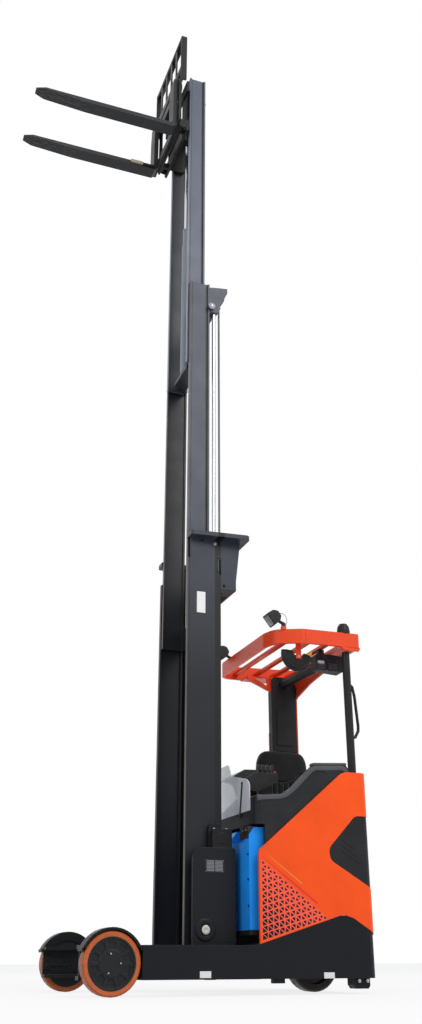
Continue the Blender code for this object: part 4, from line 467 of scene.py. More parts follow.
guard_red = coated("guard_orange_red", (0.80, 0.066, 0.016), 0.30, (0.45, 0.08, 0.04), 0.2, 0.06, 0.02,
                   gloss=0.22, over=welded_seam)
finished(guard_red, "overhead_guard", "guard_pillar")
finished(coated("post_black", (0.014, 0.0145, 0.016), 0.38, (0.10, 0.10, 0.10), 0.3, 0.1), "guard_post")
lamp_black = moulded("lamp_black", (0.012, 0.012, 0.013), 0.42, (0.05, 0.05, 0.05))
finished(lamp_black, "work_lamp_near", "work_lamp_far", "beacon", "mirror")


# Mast stages: rolled rails in a bluer charcoal. Each higher stage is painted paler, and the outer one paler
# towards its top: painted light for the stronger light and reflection up the mast. Brown primer shows on the
# flange edges that the rollers and the next stage wear.
def rolled(web_y, inner_y, front_x, inner_shade_colour, front_colour, *shadows):
    """A rail's tones: painted shade that darkens its inner faces, painted shadow lines where the outer face steps in
    beside its flanges, and primer on the front flange, which the rollers and the weather have rubbed."""
    def over(tree, under):
        x, y, z = object_axes(tree)
        # Painted shadow: dark lines where the outer face steps in beside the flanges.
        steps = calculated(tree, "MAXIMUM", *(within(tree, x, low, high, 0.0015) for low, high in shadows))
        shown = product(tree, steps, beyond(tree, y, web_y))
        drawn = node(tree, "Mapping", {0: object_place(tree), "Scale": (30, 30, 1.5)}).outputs[0]
        rubbed = stretched(tree, clouds(tree, drawn, 2.0), 0.35, 0.62, 0.45, 1.0)
        in_front = product(tree, calculated(tree, "LESS_THAN", x, front_x), rubbed)
        # Painted shade: the rail's inner faces are darker.
        inside = stretched(tree, calculated(tree, "ABSOLUTE", y), inner_y + 0.0010, inner_y + 0.0002)
        with_painted_shade = blended(tree, shown, blended(tree, inside, under, inner_shade_colour), (0.006, 0.007, 0.009))
        return blended(tree, in_front, with_painted_shade, front_colour)
    return over


def painted_light_above(low, high, colour, tones):
    """Painted light: the coat goes over into a paler one between two heights, for the stronger light higher up."""
    def over(tree, under):
        return tones(tree, blended(tree, stretched(tree, object_axes(tree)[2], low, high), under, colour))
    return over


# Painted shade for the rails' inner faces; the inner stage's own shade colour is given in its line below.
painted_inner_shade = (0.0110, 0.0125, 0.0165)
outer_tones = rolled(0.3395, 0.3265, 0.0825, painted_inner_shade, (0.075, 0.058, 0.052), (0.092, 0.096), (0.287, 0.335))
middle_tones = rolled(0.2885, 0.2800, 0.0885, painted_inner_shade, (0.20, 0.165, 0.16), (0.103, 0.111), (0.226, 0.242))
inner_tones = rolled(0.2510, 0.2430, 0.0765, (0.022, 0.026, 0.035), (0.34, 0.37, 0.43), (0.090, 0.098), (0.193, 0.209))
primer_brown = (0.20, 0.125, 0.105)
# Painted light: the middle and inner stages' coats are paler, standing in for the stronger light and reflection higher
# up.
for stage, colour, gloss, tones in (
    ("outer_mast", (0.0120, 0.0138, 0.0178), 0.25, painted_light_above(1.95, 2.75, (0.034, 0.040, 0.054), outer_tones)),
    ("middle_mast", (0.048, 0.056, 0.079), 0.35, middle_tones),
    ("inner_mast", (0.082, 0.097, 0.137), 0.40, inner_tones),
):
    finished(coated(f"{stage}_coat", colour, 0.42, primer_brown, 0.9, 0.08, gloss=gloss, over=tones), stage)
carriage_coat = coated("mast_carriage_coat", (0.0105, 0.0118, 0.0148), 0.44, primer_brown, 0.7, 0.1, gloss=0.16)
finished(carriage_coat, "reach_carriage")
barrel_coat = coated("free_lift_barrel_coat", (0.27, 0.29, 0.335), 0.34, (0.25, 0.24, 0.23), 0.5, 0.1, gloss=0.4)
finished(barrel_coat, "free_lift_barrel")


# Piston rods of the lift, free-lift and reach cylinders: steel, ground round and hard-chromed, so its fine
# marks run round the rod.
chrome, tree, shader = new_finish("hard_chrome", Metallic=1.0, Base_Color=(0.62, 0.63, 0.66))
ground = node(tree, "Mapping", {0: object_place(tree), "Scale": (1, 1, 60)}).outputs[0]
fed(tree, shader, {"Roughness": stretched(tree, clouds(tree, ground, 12.0), 0.3, 0.7, 0.10, 0.24)})
finished(chrome, "lift_rod_near", "lift_rod_far", "free_lift_rod", "reach_cylinder_rod")


# Leaf chains: stacks of waisted steel links, oiled, with a riveted pin every 19 mm. They carry the moving
# stages and end in anchors.
chain, tree, shader = new_finish("oiled_links", Metallic=0.55)
waist = stretched(tree, calculated(tree, "PINGPONG", object_axes(tree)[2], 0.0095), 0.0015, 0.0055)
links = blended(tree, waist, (0.24, 0.27, 0.33), (0.022, 0.024, 0.032))
fed(tree, shader, {"Base Color": links, "Roughness": stretched(tree, waist, 0, 1, 0.28, 0.55)})
bumped(tree, shader, waist, 0.8, 0.002, invert=True)
finished(chain, "lift_chain_near", "lift_chain_far", "free_lift_chain_near", "free_lift_chain_far")


# Fork carriage, tilt frame, side-shift bars, load guard and forks: flame-cut and forged steel in black,
# with bare, scraped steel at the fork tips and heels.
carriage_black = coated("carriage_black", (0.013, 0.0135, 0.015), 0.40, (0.15, 0.13, 0.12), 0.7, 0.1)
finished(carriage_black, "free_lift_crosshead", "fork_carriage", "tilt_frame", "fork_bars", "load_backrest")


def scraped_tips(tree, under):
    """Scratches along the blade grow towards the tip."""
    drawn = node(tree, "Mapping", {0: object_place(tree), "Scale": (4, 60, 60)}).outputs[0]
    strokes = stretched(tree, clouds(tree, drawn, 3.0, 4.0, 0.7), 0.52, 0.68)
    near_tip = stretched(tree, object_axes(tree)[0], -0.6, -1.35, 0.05, 0.8)
    return blended(tree, product(tree, strokes, near_tip), under, (0.22, 0.21, 0.20))


fork_steel = coated("fork_black", (0.022, 0.023, 0.026), 0.42, (0.22, 0.20, 0.19), 0.8, 0.1, over=scraped_tips)
finished(fork_steel, "fork_near", "fork_far")


# Bolts and screws: zinc-plated hexagon bolts on washers, socket screws and small blackened screws. Every
# group of like ones is one piece, turned from a stepped profile whose head is drawn in to a hexagon.
def grid_faces(rows, columns):
    """Quads between the neighbours of a grid of points; each row's end meets its start."""
    i, j = np.meshgrid(np.arange(rows - 1), np.arange(columns), indexing="ij")
    here, after = i * columns + j, i * columns + (j + 1) % columns
    return np.stack([here, after, after + columns, here + columns], -1).reshape(-1, 4)


def worked(name, points, faces, finish, slot, body="chassis"):
    """Puts points and faces into a mesh, merges seams and poles, turns its faces outwards, and rides it."""
    mesh = bpy.data.meshes.new(name)
    mesh.from_pydata(np.asarray(points).reshape(-1, 3).tolist(), [], np.asarray(faces).tolist())
    shape = bmesh.new()
    shape.from_mesh(mesh)
    bmesh.ops.remove_doubles(shape, verts=shape.verts, dist=2e-6)
    bmesh.ops.dissolve_degenerate(shape, dist=1e-6, edges=shape.edges)
    bmesh.ops.recalc_face_normals(shape, faces=shape.faces)
    shape.to_mesh(mesh)
    shape.free()
    mesh.shade_smooth()
    mesh.set_sharp_from_angle(angle=math.radians(40.0))
    mesh.materials.append(finish)
    piece = linked(name, mesh)
    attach(piece, body)
    return piece


def truck(x, y, z):
    """A place measured on the truck, in the frame."""
    return (x + LOAD_AXLE_X, y, z)


def turned_set(name, places, axis, profile, finish, slot, body="chassis", steps=24):
    """Like turned parts on parallel axes: place + along * axis + radius * (cos a, sin a), where a row of the
    profile is (along, radius) and may say how far the circle is drawn in to a hexagon."""
    axis = np.array(axis, float) / np.linalg.norm(axis)
    across = np.cross(axis, (0, 0, 1) if abs(axis[2]) < 0.9 else (1, 0, 0))
    across /= np.linalg.norm(across)
    a = np.arange(steps) * 2 * math.pi / steps
    flats = math.cos(math.pi / 6) / np.cos(a % (math.pi / 3) - math.pi / 6)
    along, radius, hexness = np.array([(*row, 0)[:3] for row in profile], float).T
    spread = radius[:, None] * (1 + hexness[:, None] * (flats - 1))
    ring = np.cos(a)[:, None] * across + np.sin(a)[:, None] * np.cross(axis, across)
    one = along[:, None, None] * axis + spread[..., None] * ring
    points = np.array(places, float)[:, None, None] + one
    faces = grid_faces(len(profile), steps)
    faces = (np.arange(len(points))[:, None, None] * len(profile) * steps + faces).reshape(-1, 4)
    return worked(name, points, faces, finish, slot, body)


zinc = coated("zinc_plate", (0.42, 0.43, 0.44), 0.34, (0.20, 0.18, 0.15), 0.6, 0.2, gloss=0.5, metallic=0.9)
black_screw = coated("blackened_screw", (0.010, 0.010, 0.011), 0.36, (0.10, 0.10, 0.10), 0.5, 0.1)


def bolted(name, places, axis, head, finish, body="chassis"):
    """Bolts with a washer and a chamfered hexagon head, as a profile in shares of the head's radius."""
    foot, shoulder, top = 0.0018, 0.0018 + 0.62 * head, 0.0018 + 0.72 * head
    profile = [(-0.001, 0), (-0.001, 1.3 * head), (0.0015, 1.3 * head), (foot, head, 1), (shoulder, head, 1),
               (top, 0.88 * head, 0.3), (top, 0)]
    turned_set(name, places, axis, profile, finish, "chain_steel" if finish == zinc else "black_paint", body)


BOTH_SIDES = ((-1, "near"), (1, "far"))
for side, name in BOTH_SIDES:
    clamps = [truck(x, side * 0.386, 0.966) for x in (0.716, 0.802)]
    bolted(f"clamp_bolts_{name}", clamps, (0, 0, 1), 0.0095, zinc, "reach_carriage")
for side, name in BOTH_SIDES:
    bolted(f"crown_bolt_{name}", [truck(0.742, side * 0.340, 2.992)], (0, side, 0), 0.0100, zinc, "reach_carriage")
    screws = [truck(x, side * 0.340, z) for x, z in ((0.639, 3.004), (0.812, 2.672))]
    bolted(f"crown_screws_{name}", screws, (0, side, 0), 0.0085, black_screw, "reach_carriage")
bolted("foot_bolts", [truck(x, -0.6268, 0.074) for x in (1.590, 1.648)], (0, -1, 0), 0.0085, zinc)
bolted("battery_screws", [truck(0.8885, -0.544, z) for z in (0.500, 0.655, 0.805)], (-1, 0, 0), 0.0065, black_screw)
turns = [math.radians(t) for t in (-8, 88, 200)]
for side, name in BOTH_SIDES:
    screws = [truck(0.053 * math.sin(t), side * 0.6295, 0.175 + 0.053 * math.cos(t)) for t in turns]
    bolted(f"hub_screws_{name}", screws, (0, side, 0), 0.0042, zinc, f"load_wheel_{name}")


# Plates and signs, all blank: a printed aluminium data plate riveted to the mast carriage, a white sign
# glued to the mast and a white label on the box under the guard.
def rounded_ring(half_width, half_height, radius, steps=7):
    """A rectangle with round corners: a quarter circle about the middle of each corner."""
    corner = np.linspace(0, math.pi / 2, steps)
    turn = (corner + np.arange(4)[:, None] * math.pi / 2).ravel()
    inner = (half_width - radius, half_height - radius)
    away = np.repeat([(1, 1), (-1, 1), (-1, -1), (1, -1)], steps, axis=0) * inner
    return away + radius * np.stack([np.cos(turn), np.sin(turn)], 1)


def capped(rings):
    """Rings of points with the middle of the first and of the last ring, which close the form, and its faces."""
    ends = [rings[k:k + 1 or None].mean(1, keepdims=True).repeat(rings.shape[1], 1) for k in (0, -1)]
    closed = np.concatenate([ends[0], rings, ends[1]])
    return closed, grid_faces(len(closed), rings.shape[1])


def pad(name, middle, across, up, rings, finish, slot, body="chassis"):
    """Rounded rectangles stacked over a place: a ring is (half width, half height, corner radius, height)."""
    across, up = (np.array(way, float) / np.linalg.norm(way) for way in (across, up))
    flat = np.stack([rounded_ring(*ring[:3]) for ring in rings])
    height = np.array([ring[3] for ring in rings])[:, None, None]
    points = np.array(middle) + flat[..., :1] * across + flat[..., 1:] * up + height * np.cross(across, up)
    return worked(name, *capped(points), finish, slot, body)


def thin_plate(half_width, half_height, radius, thick):
    """A plate's rings: straight sides, and a top edge drawn in by 0.3 of the thickness."""
    edge = 0.3 * thick
    whole = (half_width, half_height, radius)
    return [(*whole, -0.0004), (*whole, thick - edge), (*(size - edge for size in whole), thick)]


data_place, sign_place = truck(0.706, -0.4245, 0.7385), truck(0.634, -0.3405, 2.5265)
label_place = truck(1.556, -0.3625, 2.166)
sign_width, sign_height = 0.033, 0.0795
rubbed_print = {"worn": (0.4, 0.4, 0.4), "wear": 0.3, "dust": 0.1}


def blank_fields(tree, under):
    """The plate's empty fields: two columns of four grey boxes on its black print."""
    x, y, z = object_axes(tree)
    x, z = calculated(tree, "SUBTRACT", x, data_place[0]), calculated(tree, "SUBTRACT", z, data_place[2])

    def away(value, middle):
        return calculated(tree, "ABSOLUTE", calculated(tree, "SUBTRACT", value, middle))

    column = stretched(tree, away(calculated(tree, "ABSOLUTE", x), 0.0290), 0.0262, 0.0256)
    row = away(calculated(tree, "PINGPONG", calculated(tree, "ADD", z, 0.1), 0.0084), 0.0042)
    boxes = product(tree, column, stretched(tree, row, 0.0026, 0.0029, 1.0, 0.0))
    printed = product(tree, boxes, within(tree, z, -0.0335, 0.0335, 0.0003))
    return blended(tree, printed, under, (0.22, 0.225, 0.24))


def pale_field(tree, under):
    """The sign's paler field inside a border 2 mm wide."""
    x, y, z = object_axes(tree)
    spans = ((x, sign_place[0], sign_width - 0.002), (z, sign_place[2], sign_height - 0.002))
    inner = [within(tree, axis, middle - half, middle + half, 0.0004) for axis, middle, half in spans]
    return blended(tree, product(tree, *inner), under, (0.80, 0.80, 0.79))


data_face = coated("data_plate_face", (0.020, 0.021, 0.025), 0.36, over=blank_fields, **rubbed_print)
sign_face = coated("mast_sign_face", (0.62, 0.62, 0.61), 0.38, over=pale_field, **rubbed_print)
upright = ((1, 0, 0), (0, 0, 1))
plate = thin_plate(0.065, 0.0395, 0.004, 0.0012)
pad("data_plate", data_place, *upright, plate, data_face, "chain_steel", "reach_carriage")
rivets = [np.add(data_place, (a * 0.060, -0.001, b * 0.0345)) for a in (-1, 1) for b in (-1, 1)]
rivet = [(0, 0), (0, 0.0022), (0.0008, 0.0020), (0.0015, 0.0010), (0.0016, 0)]
turned_set("data_plate_rivets", rivets, (0, -1, 0), rivet, zinc, "chain_steel", "reach_carriage", 12)
sign = thin_plate(sign_width, sign_height, 0.003, 0.0008)
pad("mast_sign", sign_place, *upright, sign, sign_face, "clear_plastic", "reach_carriage")
pad("box_label", label_place, *upright, thin_plate(0.026, 0.012, 0.002, 0.0008), sign_face, "clear_plastic")


# Lip of the housing: a soft grey vinyl edge trim that runs from the front corner up to the entry and ends
# on a raised armrest pad, on both sides.
def eased(path, count, window):
    """Points at equal distances along a path, each the average of its neighbours, so corners turn round."""
    path = np.array(path, float)
    gone = np.concatenate([[0], np.cumsum(np.linalg.norm(np.diff(path, axis=0), axis=1))])
    even = np.linspace(0, gone[-1], count)
    line = np.stack([np.interp(even, gone, path[:, k]) for k in range(path.shape[1])], 1)
    padded = np.pad(line, ((window, window), (0, 0)), mode="reflect", reflect_type="odd")
    kernel = np.ones(2 * window + 1) / (2 * window + 1)
    return np.stack([np.convolve(padded[:, k], kernel, "valid") for k in range(path.shape[1])], 1)


def carried(path, profile):
    """A closed profile of (up from the path, Y) carried along a path in the X-Z plane: path + up * normal."""
    along = np.gradient(path, axis=0)
    along /= np.linalg.norm(along, axis=1, keepdims=True)
    normal = np.stack([-along[:, 1], along[:, 0]], 1)
    flat = path[:, None] + profile[None, :, :1] * normal[:, None]
    return capped(np.stack([flat[..., 0], np.broadcast_to(profile[:, 1], flat.shape[:2]), flat[..., 1]], -1))


trim_grey = moulded("lip_vinyl_grey", (0.070, 0.073, 0.084), 0.42, (0.16, 0.165, 0.18), 520.0, 0.18)
lip_corners = [(0.930, 1.160), (1.108, 1.175), (1.162, 1.207), (1.301, 1.338), (1.332, 1.368), (1.572, 1.382),
               (1.598, 1.345)]
lip_path = eased(lip_corners, 110, 4) + (LOAD_AXLE_X, 0)
a = np.linspace(0, 2 * math.pi, 20, endpoint=False)
squared = np.sign([np.sin(a), np.cos(a)]) * np.abs([np.sin(a), np.cos(a)]) ** 0.6
soft_edge = np.stack([-0.012 + 0.019 * squared[0], 0.604 + 0.014 * squared[1]], 1)
armrest = [(0.128, 0.030, 0.012, -0.006), (0.130, 0.032, 0.014, 0.004), (0.126, 0.028, 0.012, 0.010),
           (0.110, 0.018, 0.010, 0.012)]
for side, name in BOTH_SIDES:
    worked(f"housing_lip_{name}", *carried(lip_path, soft_edge * (1, side)), trim_grey, "black_plastic")
    place = truck(1.462, side * 0.585, 1.388)
    pad(f"armrest_pad_{name}", place, (1, 0, 0.055), (0, 1, 0), armrest, trim_grey, "black_plastic")


# Seat: woven black covers over foam. Cushion and back are blown up by a cloth simulation from a slimmer
# form, then four sewn channels are pulled in down the middle of the back and lines across the cushion.
weave, tree, shader = new_finish("seat_weave", Sheen_Weight=0.25, Roughness=0.9, Specular_IOR_Level=0.15)
place = object_place(tree)
warp = node(tree, "TexWave", {"Vector": place, "Scale": 160.0})
weft = node(tree, "TexWave", {"Vector": place, "Scale": 160.0}, bands_direction="Z")
thread = product(tree, warp.outputs["Fac"], weft.outputs["Fac"])
worn_cloth = stretched(tree, clouds(tree, place, 9.0), 0.35, 0.7, 0.0, 0.5)
lit_thread = calculated(tree, "MAXIMUM", thread, worn_cloth)
fed(tree, shader, {"Base Color": blended(tree, lit_thread, (0.0085, 0.0085, 0.0095), (0.024, 0.024, 0.027))})
bumped(tree, shader, thread, 0.5, 0.0015)


def foam_form(low, high, squareness, taper):
    """A box of foam on a grid of the unit sphere: each direction d is set at sign(d) * |d| ** squareness of
    the half size, so the sides bulge a little and the corners turn round; taper narrows one end."""
    rows, columns = 60, 112
    polar = np.linspace(0, math.pi, rows)[:, None]
    turn = np.arange(columns) * 2 * math.pi / columns
    d = np.stack([np.sin(polar) * np.cos(turn), np.sin(polar) * np.sin(turn), np.cos(polar) * np.ones(columns)], -1)
    swollen = np.sign(d) * np.abs(d) ** squareness
    return taper((low + high) / 2 + swollen * (high - low) / 2), grid_faces(rows, columns)


def applied(piece):
    """Turns what the modifiers show into the piece's own mesh."""
    shown = piece.evaluated_get(bpy.context.evaluated_depsgraph_get())
    mesh = bpy.data.meshes.new_from_object(shown)
    piece.modifiers.clear()
    old, piece.data = piece.data, mesh
    bpy.data.meshes.remove(old)


def spots(piece, what="co"):
    """The piece's points, or their normals, as rows of X, Y and Z."""
    values = np.empty(len(piece.data.vertices) * 3)
    piece.data.vertices.foreach_get(what, values)
    return values.reshape(-1, 3)


def blown(piece, cap):
    """Remeshes a piece, lets cloth pressure swell it by no more than cap, and smooths it once."""
    remesh = piece.modifiers.new("remesh", "REMESH")
    remesh.mode, remesh.voxel_size = "VOXEL", 0.0055
    applied(piece)
    before = spots(piece)
    cloth = piece.modifiers.new("cloth", "CLOTH")
    cloth.settings.use_pressure = True
    cloth.settings.uniform_pressure_force = 4.0
    cloth.settings.effector_weights.gravity = 0.0
    cloth.settings.quality = 5
    for frame_number in range(1, 21):
        bpy.context.scene.frame_set(frame_number)
    applied(piece)
    move = spots(piece) - before
    far = np.linalg.norm(move, axis=1, keepdims=True)
    kept = before + move * np.minimum(1, cap / np.maximum(far, 1e-9))
    piece.data.vertices.foreach_set("co", kept.ravel())
    finer = piece.modifiers.new("finer", "SUBSURF")
    finer.levels = finer.render_levels = 1
    applied(piece)
    bpy.context.scene.frame_set(1)


def sewn(piece, seams, depth, width, axis):
    """Pulls the cloth in by depth * exp(-(distance / width) ** 2) along each seam; a seam is a function
    that gives the distance to it."""
    points = spots(piece)
    pull = np.max([np.exp(-(seam(points) / width) ** 2) for seam in seams], axis=0)
    facing = np.clip(spots(piece, "normal") @ np.array(axis), 0, 1)
    points -= (depth * pull * facing)[:, None] * np.array(axis)
    piece.data.vertices.foreach_set("co", points.ravel())
    piece.data.update()


seat_middle = 1.485 + LOAD_AXLE_X
back_low, back_high = (np.array(corner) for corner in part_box("seat_back"))
cushion_low, cushion_high = (np.array(corner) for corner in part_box("seat_cushion"))


def waisted(points):
    """The back is widest above its middle and narrows towards its foot and head."""
    share = (points[:, :, 2] - back_low[2]) / (back_high[2] - back_low[2])
    width = np.interp(share, (0, 0.30, 0.70, 0.88, 1.0), (0.80, 0.90, 1.0, 0.985, 0.94))
    middle = (back_low[0] + back_high[0]) / 2
    points[:, :, 0] = (points[:, :, 0] - middle) * width + middle
    return points


inset = np.array((0.009, 0.012, 0.009))
back_form = foam_form(back_low + inset, back_high + (0.010, -0.012, 0.006), 0.30, waisted)
cushion_form = foam_form(cushion_low + inset, cushion_high - inset, 0.34, lambda points: points)
seat_back = worked("seat_back_cover", *back_form, weave, "seat_fabric")
seat_cushion = worked("seat_cushion_cover", *cushion_form, weave, "seat_fabric")
for piece, swell in ((seat_back, 0.004), (seat_cushion, 0.010)):
    blown(piece, swell)


def aside(points, beside=0.0):
    """How far points lie to the side of the seat's middle, or of a line beside it."""
    return np.abs(points[:, 0] - seat_middle - beside)


def channel(beside):
    """A seam down the back, which leans outwards below 1.30 m and ends at 1.40 m."""
    def distance(q):
        return np.where(q[:, 2] < 1.40, aside(q, beside + 1.1 * beside * np.clip(1.30 - q[:, 2], 0, 1)), 1.0)
    return distance


def crossing(y):
    """A seam across the cushion, between its two long seams."""
    return lambda q: np.abs(q[:, 1] - y) + np.clip(aside(q) - 0.120, 0, 1) * 3


def yoke(q):
    """The curved seam at the channels' upper ends."""
    return np.abs(q[:, 2] - 1.40 - 3.0 * (q[:, 0] - seat_middle) ** 2) + np.clip(aside(q) - 0.150, 0, 1) * 3


sewn(seat_back, [channel(x) for x in (-0.066, -0.022, 0.022, 0.066)] + [yoke], 0.012, 0.0070, (0, -1, 0))
long_seams = [lambda q, x=x: aside(q, x) for x in (-0.120, 0.120)]
sewn(seat_cushion, long_seams + [crossing(y) for y in (-0.06, 0.0, 0.06, 0.12)], 0.008, 0.0065, (0, 0, 1))
for piece, stands_for in ((seat_back, "seat_back"), (seat_cushion, "seat_cushion")):
    piece.data.materials.clear()
    piece.data.materials.append(weave)
    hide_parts(stands_for)


# Fender aprons: a thin steel plate inside each load wheel's fender closes the gap above the tyre. It is
# rolled to the fender's curve and welded along its edge.
sweep = np.radians(np.linspace(24, 156, 40))
for side, name in BOTH_SIDES:
    radii = np.array([0.138, 0.1915, 0.1915, 0.138])
    ys = np.broadcast_to(side * np.array([0.5300, 0.5300, 0.5322, 0.5322]), (40, 4))
    arc = [LOAD_AXLE_X + radii * np.cos(sweep)[:, None], ys, 0.175 + radii * np.sin(sweep)[:, None]]
    worked(f"fender_apron_{name}", *capped(np.stack(arc, -1)), fender_coat, "charcoal_paint")


# Battery connector: a black moulded block on the battery's front edge, with two round sockets and their
# pins, and a blue cap that closes the battery's drain.
def slab(outline, axis, low, high, edge=0.001):
    """A flat part: its outline stands at four heights along an axis, drawn in by edge at both ends, and the
    middle of each end closes it."""
    outline = np.array(outline, float)
    middle = outline.mean(0)
    reach = np.linalg.norm(outline - middle, axis=1, keepdims=True)
    shrunk = middle + (outline - middle) * (1 - edge / reach)
    point = np.broadcast_to(middle, outline.shape)
    stacked = np.stack([point, shrunk, outline, outline, shrunk, point])
    heights = np.array([low, low, low + edge, high - edge, high, high])
    together = np.concatenate([stacked, np.broadcast_to(heights[:, None], stacked.shape[:2])[..., None]], -1)
    order = {"X": [2, 0, 1], "Y": [0, 2, 1], "Z": [0, 1, 2]}[axis]
    return together[..., order].reshape(-1, 3), grid_faces(6, len(outline))


def rectangle(low_a, high_a, low_b, high_b, radius=0.002):
    """A rectangle's outline from its limits along two axes, with round corners."""
    middle = ((low_a + high_a) / 2, (low_b + high_b) / 2)
    return rounded_ring((high_a - low_a) / 2, (high_b - low_b) / 2, radius, 3) + middle


BATTERY_FRONT = 0.8835
block = rectangle(-0.558, -0.412, 0.902, 0.976, 0.006)
connector = slab(block, "X", BATTERY_FRONT + LOAD_AXLE_X, 0.9300 + LOAD_AXLE_X, 0.002)
worked("battery_connector", *connector, housing_black, "black_plastic")
socket_rings = [(-0.002, 0), (-0.002, 0.019), (0.003, 0.019), (0.004, 0.017), (0.004, 0.013), (-0.001, 0.012),
                (-0.001, 0.005), (0.003, 0.004), (0.003, 0)]
pin_rings = [(-0.001, 0), (-0.001, 0.0045), (0.0048, 0.0045), (0.0054, 0.0036), (0.0054, 0)]
cap_rings = [(-0.001, 0), (-0.001, 0.014), (0.005, 0.014), (0.007, 0.011), (0.007, 0)]
sockets, pins = ([truck(x, y, 0.952) for y in (-0.479, -0.532)] for x in (BATTERY_FRONT, 0.8825))
for name, places, rings, finish, slot, steps in (
    ("battery_sockets", sockets, socket_rings, lamp_black, "black_plastic", 28),
    ("battery_pins", pins, pin_rings, zinc, "chain_steel", 16),
    ("battery_drain_cap", [truck(0.8885, -0.329, 0.349)], cap_rings, battery_blue, "blue_paint", 20),
):
    turned_set(name, places, (-1, 0, 0), rings, finish, slot, steps=steps)


# Lower pins of the mast carriage: turned steel, pressed into bosses. The bright end of each pin has a
# bevelled rim and a round recess in its middle.
pin_end = [(-0.001, 0), (-0.001, 0.0272), (0.0012, 0.0272), (0.0024, 0.0256), (0.0024, 0.008), (0.0012, 0.006),
           (0.0012, 0)]
bright = coated("turned_pin_steel", (0.56, 0.55, 0.50), 0.42, (0.30, 0.27, 0.22), 0.7, 0.4, gloss=0.4, metallic=0.35)
for side, name in BOTH_SIDES:
    place = truck(0.643, side * 0.438, 0.363)
    turned_set(f"carriage_pin_{name}", [place], (0, side, 0), pin_end, bright, "chain_steel", "reach_carriage", 32)


# Strut of the shield: a black flat bar with round ends and a folded foot. Two small screws hold it to the
# front of the clear sheet.
def strap(start, end, half_width, steps=7):
    """A bar's outline between two places: a half circle about each end."""
    start, end = np.array(start, float), np.array(end, float)
    along = (end - start) / np.linalg.norm(end - start)
    across = np.array([-along[1], along[0]])
    a = np.linspace(-math.pi / 2, math.pi / 2, steps)[:, None]
    half_circle = half_width * (np.cos(a) * along + np.sin(a) * across)
    return np.concatenate([end + half_circle, start - half_circle])


def merged(parts):
    """Several closed forms as one list of points and faces."""
    starts = np.cumsum([0] + [len(points) for points, _ in parts[:-1]])
    faces = [faces + start for start, (_, faces) in zip(starts, parts)]
    return np.concatenate([points for points, _ in parts]), np.concatenate(faces)


sheet_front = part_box("front_shield")[0][0]
bar = slab(strap((-0.342, 1.060), (-0.389, 1.272), 0.0075), "X", sheet_front - 0.006, sheet_front + 0.0005)
foot = slab(rectangle(-0.362, -0.322, 1.050, 1.078, 0.004), "X", sheet_front - 0.010, sheet_front + 0.0005)
worked("shield_strut", *merged([bar, foot]), lamp_black, "black_plastic")
screws = [(sheet_front - 0.006, -0.388, 1.266), (sheet_front - 0.010, -0.334, 1.064)]
bolted("shield_screws", screws, (-1, 0, 0), 0.0045, black_screw)


# Emergency stop and lever caps on the armrest console: a red mushroom button in a black collar, and four
# grey moulded caps in a row.
stop_red = moulded("stop_button_red", (0.62, 0.012, 0.010), 0.35, (0.7, 0.05, 0.04), 500.0, 0.05)
collar = [(-0.012, 0), (-0.012, 0.014), (0.004, 0.014), (0.006, 0.011), (0.006, 0)]
button = [(-0.001, 0), (-0.001, 0.0075), (0.004, 0.0075), (0.005, 0.0092), (0.010, 0.0092), (0.012, 0.006), (0.013, 0)]
turned_set("stop_button_collar", [truck(1.276, -0.112, 1.392)], (0, 0, 1), collar, lamp_black, "black_plastic")
turned_set("stop_button", [truck(1.276, -0.112, 1.398)], (0, 0, 1), button, stop_red, "orange_paint")
cap_grey = moulded("lever_cap_grey", (0.085, 0.088, 0.10), 0.4, (0.2, 0.2, 0.22), 600.0, 0.1)
lever_cap = thin_plate(0.0095, 0.0075, 0.003, 0.0022)
for i in range(4):
    place = truck(1.152 + 0.035 * i, -0.103, 1.449)
    pad(f"lever_cap_{i + 1}", place, (1, 0, 0), (0, 1, 0), lever_cap, cap_grey, "black_plastic")


# Orange edges of the pillar: the painted sheet steel shows as a narrow strip before and behind the black
# lining that is clipped into it.
lining_front, lining_rear = (corner[0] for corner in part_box("pillar_lining"))
front_edge = slab(rectangle(lining_front - 0.004, lining_front - 0.0002, 0.443, 0.453, 0.001), "Z", 1.46, 1.80)
rear_edge = slab(rectangle(lining_rear + 0.0002, lining_rear + 0.012, 0.402, 0.440), "Z", 1.31, 2.11)
worked("pillar_edges", *merged([front_edge, rear_edge]), guard_red, "orange_steel")


# Work lamps: a moulded bezel is clipped to each black shell, round a lens of clear plastic whose small
# prisms spread the light.
lens_pale, tree, shader = new_finish("lamp_lens", Coat_Weight=0.6)
prisms = node(tree, "TexVoronoi", {"Vector": object_place(tree), "Scale": 130.0, "Randomness": 0.15})
prisms = prisms.outputs["Distance"]
glass = blended(tree, stretched(tree, prisms, 0.2, 0.6), (0.40, 0.35, 0.37), (0.20, 0.18, 0.20))
fed(tree, shader, {"Base Color": glass, "Roughness": stretched(tree, prisms, 0.0, 0.6, 0.12, 0.3)})
bumped(tree, shader, prisms, 0.4, 0.001)
bezel = [(0.044, 0.049, 0.008, -0.001), (0.044, 0.049, 0.008, 0.003), (0.041, 0.046, 0.007, 0.005),
         (0.036, 0.041, 0.006, 0.005), (0.035, 0.040, 0.006, 0.002)]
lamp_glass = [(0.0345, 0.0395, 0.006, 0.0015), (0.0345, 0.0395, 0.006, 0.003), (0.026, 0.031, 0.005, 0.0045),
              (0.012, 0.014, 0.004, 0.0052)]
for name, (lamp_x, lamp_y, lean) in {"near": (1.213, -0.477, 38), "far": (1.158, 0.420, 30)}.items():
    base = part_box(f"work_lamp_{name}")[0][2]
    c, s = math.cos(math.radians(lean)), math.sin(math.radians(lean))
    face = np.array(truck(lamp_x - 0.070, lamp_y, base + 0.066)) + 0.052 * np.array((-c, 0, -s))
    pad(f"lamp_bezel_{name}", face, (0, -1, 0), (-s, 0, c), bezel, lamp_black, "black_plastic")
    pad(f"lamp_lens_{name}", face, (0, -1, 0), (-s, 0, c), lamp_glass, lens_pale, "clear_plastic")


